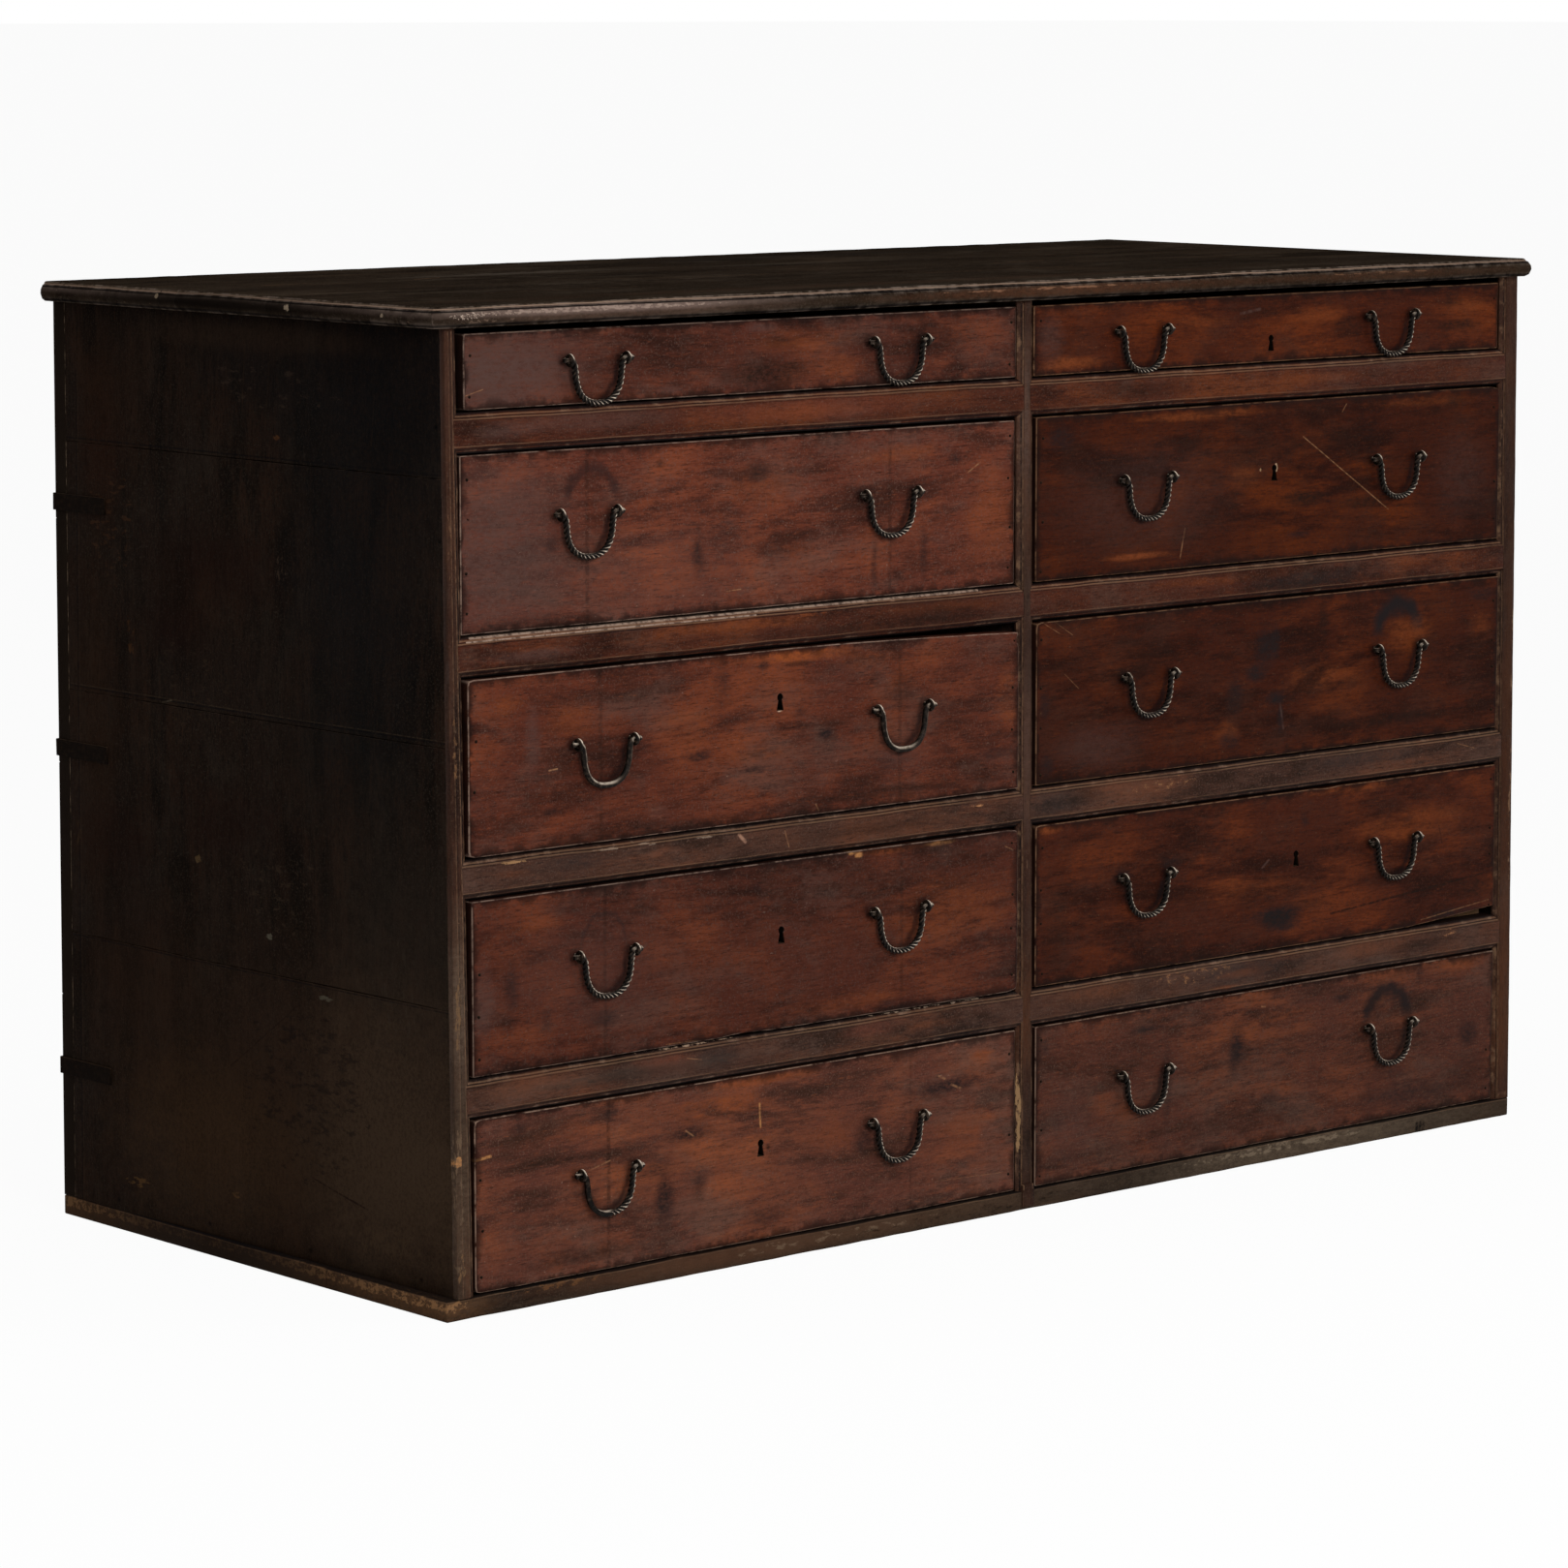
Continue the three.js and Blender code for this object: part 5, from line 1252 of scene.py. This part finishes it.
def nail_pattern():
    """A forged nail head, nearly flush with the board, its face towards -Y."""
    nail = rod(9, NAIL_RADIUS, NAIL_THICK)
    soften(nail, 0.0008, 50)
    wear(nail, 0.0008, 0.003)
    smooth_over(nail, 60)
    return nail


def bail_guide():
    """The line that a bail is bent along: down from one eye, across and up to the other."""
    half = [(across * HALF_SPAN, down * BAIL_DROP) for across, down in BAIL_PATH]
    route = [(-x, y) for x, y in half] + list(reversed(half[:-1]))
    curve = bpy.data.curves.new("bail_line", "CURVE")
    curve.dimensions = "2D"
    spline = curve.splines.new("BEZIER")
    spline.bezier_points.add(len(route) - 1)
    for knot, (x, y) in zip(spline.bezier_points, route):
        knot.co = (x, y, 0)
        knot.handle_left_type = knot.handle_right_type = "AUTO"
    curve.resolution_u = 24
    guide = bpy.data.objects.new("bail_line", curve)
    bpy.context.scene.collection.objects.link(guide)
    bpy.context.view_layer.update()
    return guide, spline.calc_length()


def off_flat(p):
    """Degrees round the bar from the middle of the nearest flat: 45 at a corner of the square."""
    return abs(math.degrees(math.atan2(p.z, p.y)) % 90 - 45)


def bail_pattern(name, twist):
    """A bar drawn out along X, twisted between two shares of its length, then bent into its U."""
    guide, length = bail_guide()
    bar = rod(16, BAR_RADIUS, length, (length / 2, 0, 0), (math.pi / 2, 0, math.pi / 2))
    bar.name = name
    cut_strips(bar, 0, BAR_CUTS)
    ridge = bar.data.attributes.new("ridge", "FLOAT", "POINT")
    for point, mark in zip(bar.data.vertices, ridge.data):
        twisted = twist and twist[0] < point.co.x / length < twist[1]
        mark.value = off_flat(point.co) / 45 if twisted else PLAIN_RIDGE
    if twist:
        for off, share in ((22.5, 0.82), (0, 0.66)):
            resize(bar, (1, share, share), lambda p: abs(off_flat(p) - off) < 3)
    else:
        resize(bar, (1, 0.9, 0.9), lambda p: True)
    from_tip = lambda p: min(p.x, length - p.x)
    resize(bar, (1, 0.74, 0.74), lambda p: from_tip(p) < TIP_LENGTH)
    resize(bar, (1, 1.22, 1.22), lambda p: 0.0006 < from_tip(p) < 0.0042)
    if twist:
        turn = (twist[1] - twist[0]) * length / TWIST_PITCH * 2 * math.pi
        finish_modifier(bar, "SIMPLE_DEFORM", deform_method="TWIST", deform_axis="X", angle=turn, limits=twist)
    finish_modifier(bar, "CURVE", object=guide, deform_axis="POS_X")
    bpy.data.objects.remove(guide)
    bar.rotation_euler = TO_Y
    settle(bar)
    wear(bar, 0.0003, 0.006)
    smooth_over(bar, 50)
    return bar


pin = split_pin_pattern()
nail = nail_pattern()
bail_patterns = {
    "twisted": bail_pattern("twisted_bail", (0.09, 0.91)),
    "plain": bail_pattern("plain_bail", None),
    "half": bail_pattern("half_twisted_bail", (0.5, 0.91)),
}
chance = random.Random(4)


def build_drawer(drawer, nail_heights):
    """Dresses one drawer: its board with keyhole and lock, pins, bails and nails."""
    low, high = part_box(f"{drawer}_front")
    face = bail_places[f"{drawer}_bail_a"].y + EYE_STAND_OFF
    low = Vector((low.x, face, low.z))
    high = Vector((high.x, face + FRONT_THICK, high.z))
    board = front_board(f"{drawer}_board", low, high)
    for x, z, wide, tall, right, up in CORNERS.get(drawer, ()):
        corner = at(x, face * 1000 + CASE_MIDDLE.y, z)
        knock(board, corner, (wide / 1000, 0.03, tall / 1000), (right / 1000, 0, up / 1000))
    skew_front(drawer, board, low, high)
    hardware, nails_and_hole_shade = [], []
    if drawer in KEYHOLES:
        along, up = KEYHOLES[drawer]
        x, z = low.x + along * (high.x - low.x), low.z + up * (high.z - low.z)
        slot = key_slot(x, face, z)
        finish_modifier(board, "BOOLEAN", object=slot, operation="DIFFERENCE", solver="EXACT")
        # The keyhole's black skin, painted shade, is joined with the nails.
        nails_and_hole_shade.append(keyhole_shade_skin(slot, face))
        bpy.data.objects.remove(slot)
        hardware.append(lock_case(x, high.y, max(z - LOCK_HIGH / 2, low.z + 0.008)))
    smooth_over(board)
    give(board, front_finish[drawer], drawer, "front_wood", f"{drawer}_front")
    for which in "ab":
        node = f"{drawer}_bail_{which}"
        middle = bail_places[node]
        hardware += [copy_of(pin, middle + Vector((side, 0, 0))) for side in (-HALF_SPAN, HALF_SPAN)]
        bail = copy_of(bail_patterns[BAIL_KINDS.get(node, "twisted")], middle)
        bail.name = bail.data.name = f"{drawer}_iron_bail_{which}"
        give(bail, bail_iron, node, "iron", node)
    for share in nail_heights:
        for x in (low.x + NAIL_INSET, high.x - NAIL_INSET):
            lift = share + chance.uniform(-0.04, 0.04)
            spot = Vector((x + chance.uniform(-0.002, 0.002), face + 0.0008, low.z + lift * (high.z - low.z)))
            nails_and_hole_shade.append(copy_of(nail, spot))
    give(join_up(f"{drawer}_irons", hardware), pin_iron, drawer, "iron", f"{drawer}_front")
    give(join_up(f"{drawer}_nails", nails_and_hole_shade), strap_iron, drawer, "iron", f"{drawer}_front")
    box = frame["nodes"][f"{drawer}_box"].data
    box.materials.clear()
    box.materials.append(box_wood)


for column in ("left", "right"):
    build_drawer(f"{column}_drawer_1", (0.2, 0.75))
    for row in (2, 3, 4, 5):
        build_drawer(f"{column}_drawer_{row}", (0.1, 0.37, 0.62, 0.88))

for pattern in (pin, nail, *bail_patterns.values()):
    bpy.data.objects.remove(pattern)

# ---- floor, light and camera ----


def direct_rays(tree):
    """1 for the rays that see the backdrop itself or its image, 0 for those that it lights."""
    seen = add_node(tree, "ShaderNodeLightPath").outputs
    image = calc(tree, "MAXIMUM", seen["Is Glossy Ray"], seen["Is Transmission Ray"])
    return calc(tree, "MAXIMUM", seen["Is Camera Ray"], image)


def pale_stage():
    """A white floor and a white world, both far brighter to the eye than as lights."""
    bpy.ops.mesh.primitive_plane_add(size=600, location=(0, 0, 0))
    floor = bpy.context.object
    floor.name = "studio_floor"
    pale = bpy.data.materials.new("studio_white")
    pale.use_nodes = True
    tree = pale.node_tree
    surface = tree.nodes["Principled BSDF"]
    surface.inputs["Base Color"].default_value = (0.9, 0.9, 0.9, 1)
    surface.inputs["Roughness"].default_value = 0.9
    surface.inputs["Specular IOR Level"].default_value = 0.0
    shine = add_node(tree, "ShaderNodeEmission", {"Color": (1, 1, 1, 1), "Strength": 1.0}).outputs[0]
    share = times(tree, direct_rays(tree), 0.95)
    mix = add_node(tree, "ShaderNodeMixShader", {0: share, 1: surface.outputs[0], 2: shine})
    tree.links.new(mix.outputs[0], tree.nodes["Material Output"].inputs["Surface"])
    floor.data.materials.append(pale)
    world = bpy.data.worlds.new("studio")
    bpy.context.scene.world = world
    world.use_nodes = True
    tree = world.node_tree
    plain = tree.nodes["Background"]
    plain.inputs["Color"].default_value = (1, 1, 1, 1)
    plain.inputs["Strength"].default_value = 0.2
    white = add_node(tree, "ShaderNodeBackground", {"Color": (1, 1, 1, 1), "Strength": 1.0}).outputs[0]
    mix = add_node(tree, "ShaderNodeMixShader", {0: direct_rays(tree), 1: plain.outputs[0], 2: white})
    tree.links.new(mix.outputs[0], tree.nodes["World Output"].inputs["Surface"])


def hang(name, data, place, ahead):
    """Puts up a lamp or a camera that looks ahead."""
    holder = bpy.data.objects.new(name, data)
    bpy.context.scene.collection.objects.link(holder)
    holder.location = place
    holder.rotation_mode = "QUATERNION"
    holder.rotation_quaternion = ahead.to_track_quat("-Z", "Y")
    return holder


def area_lamp(name, place, target, size, power):
    lamp = bpy.data.lights.new(name, "AREA")
    lamp.shape = "RECTANGLE"
    lamp.size, lamp.size_y = size
    lamp.energy = power
    hang(name, lamp, place, Vector(target) - Vector(place))


def photograph_view():
    """The camera that was fitted to the photograph."""
    lens = bpy.data.cameras.new("photograph_camera")
    lens.sensor_fit = "HORIZONTAL"
    lens.angle = math.radians(16.09136)
    lens.clip_end = 1000
    azimuth, elevation = math.radians(-41.30995), math.radians(8.02126)
    level = math.cos(elevation)
    ahead = Vector((-math.sin(azimuth) * level, math.cos(azimuth) * level, -math.sin(elevation)))
    bpy.context.scene.camera = hang("photograph_camera", lens, (-4.29354, -4.83269, 1.36709), ahead)


pale_stage()
area_lamp("key", (-1.4, -4.8, 2.5), (0.1, -0.3, 0.5), (2.4, 1.5), 125)
area_lamp("window", (3.4, -3.6, 2.6), (0.2, -0.3, 0.5), (1.0, 1.6), 34)
area_lamp("sky", (-0.5, -0.5, 4.2), (0, 0, 0.5), (4.0, 3.0), 60)
area_lamp("left", (-4.2, -1.6, 1.8), (-0.6, 0, 0.5), (1.6, 2.2), 12)
photograph_view()
bpy.context.scene.view_settings.view_transform = "Standard"
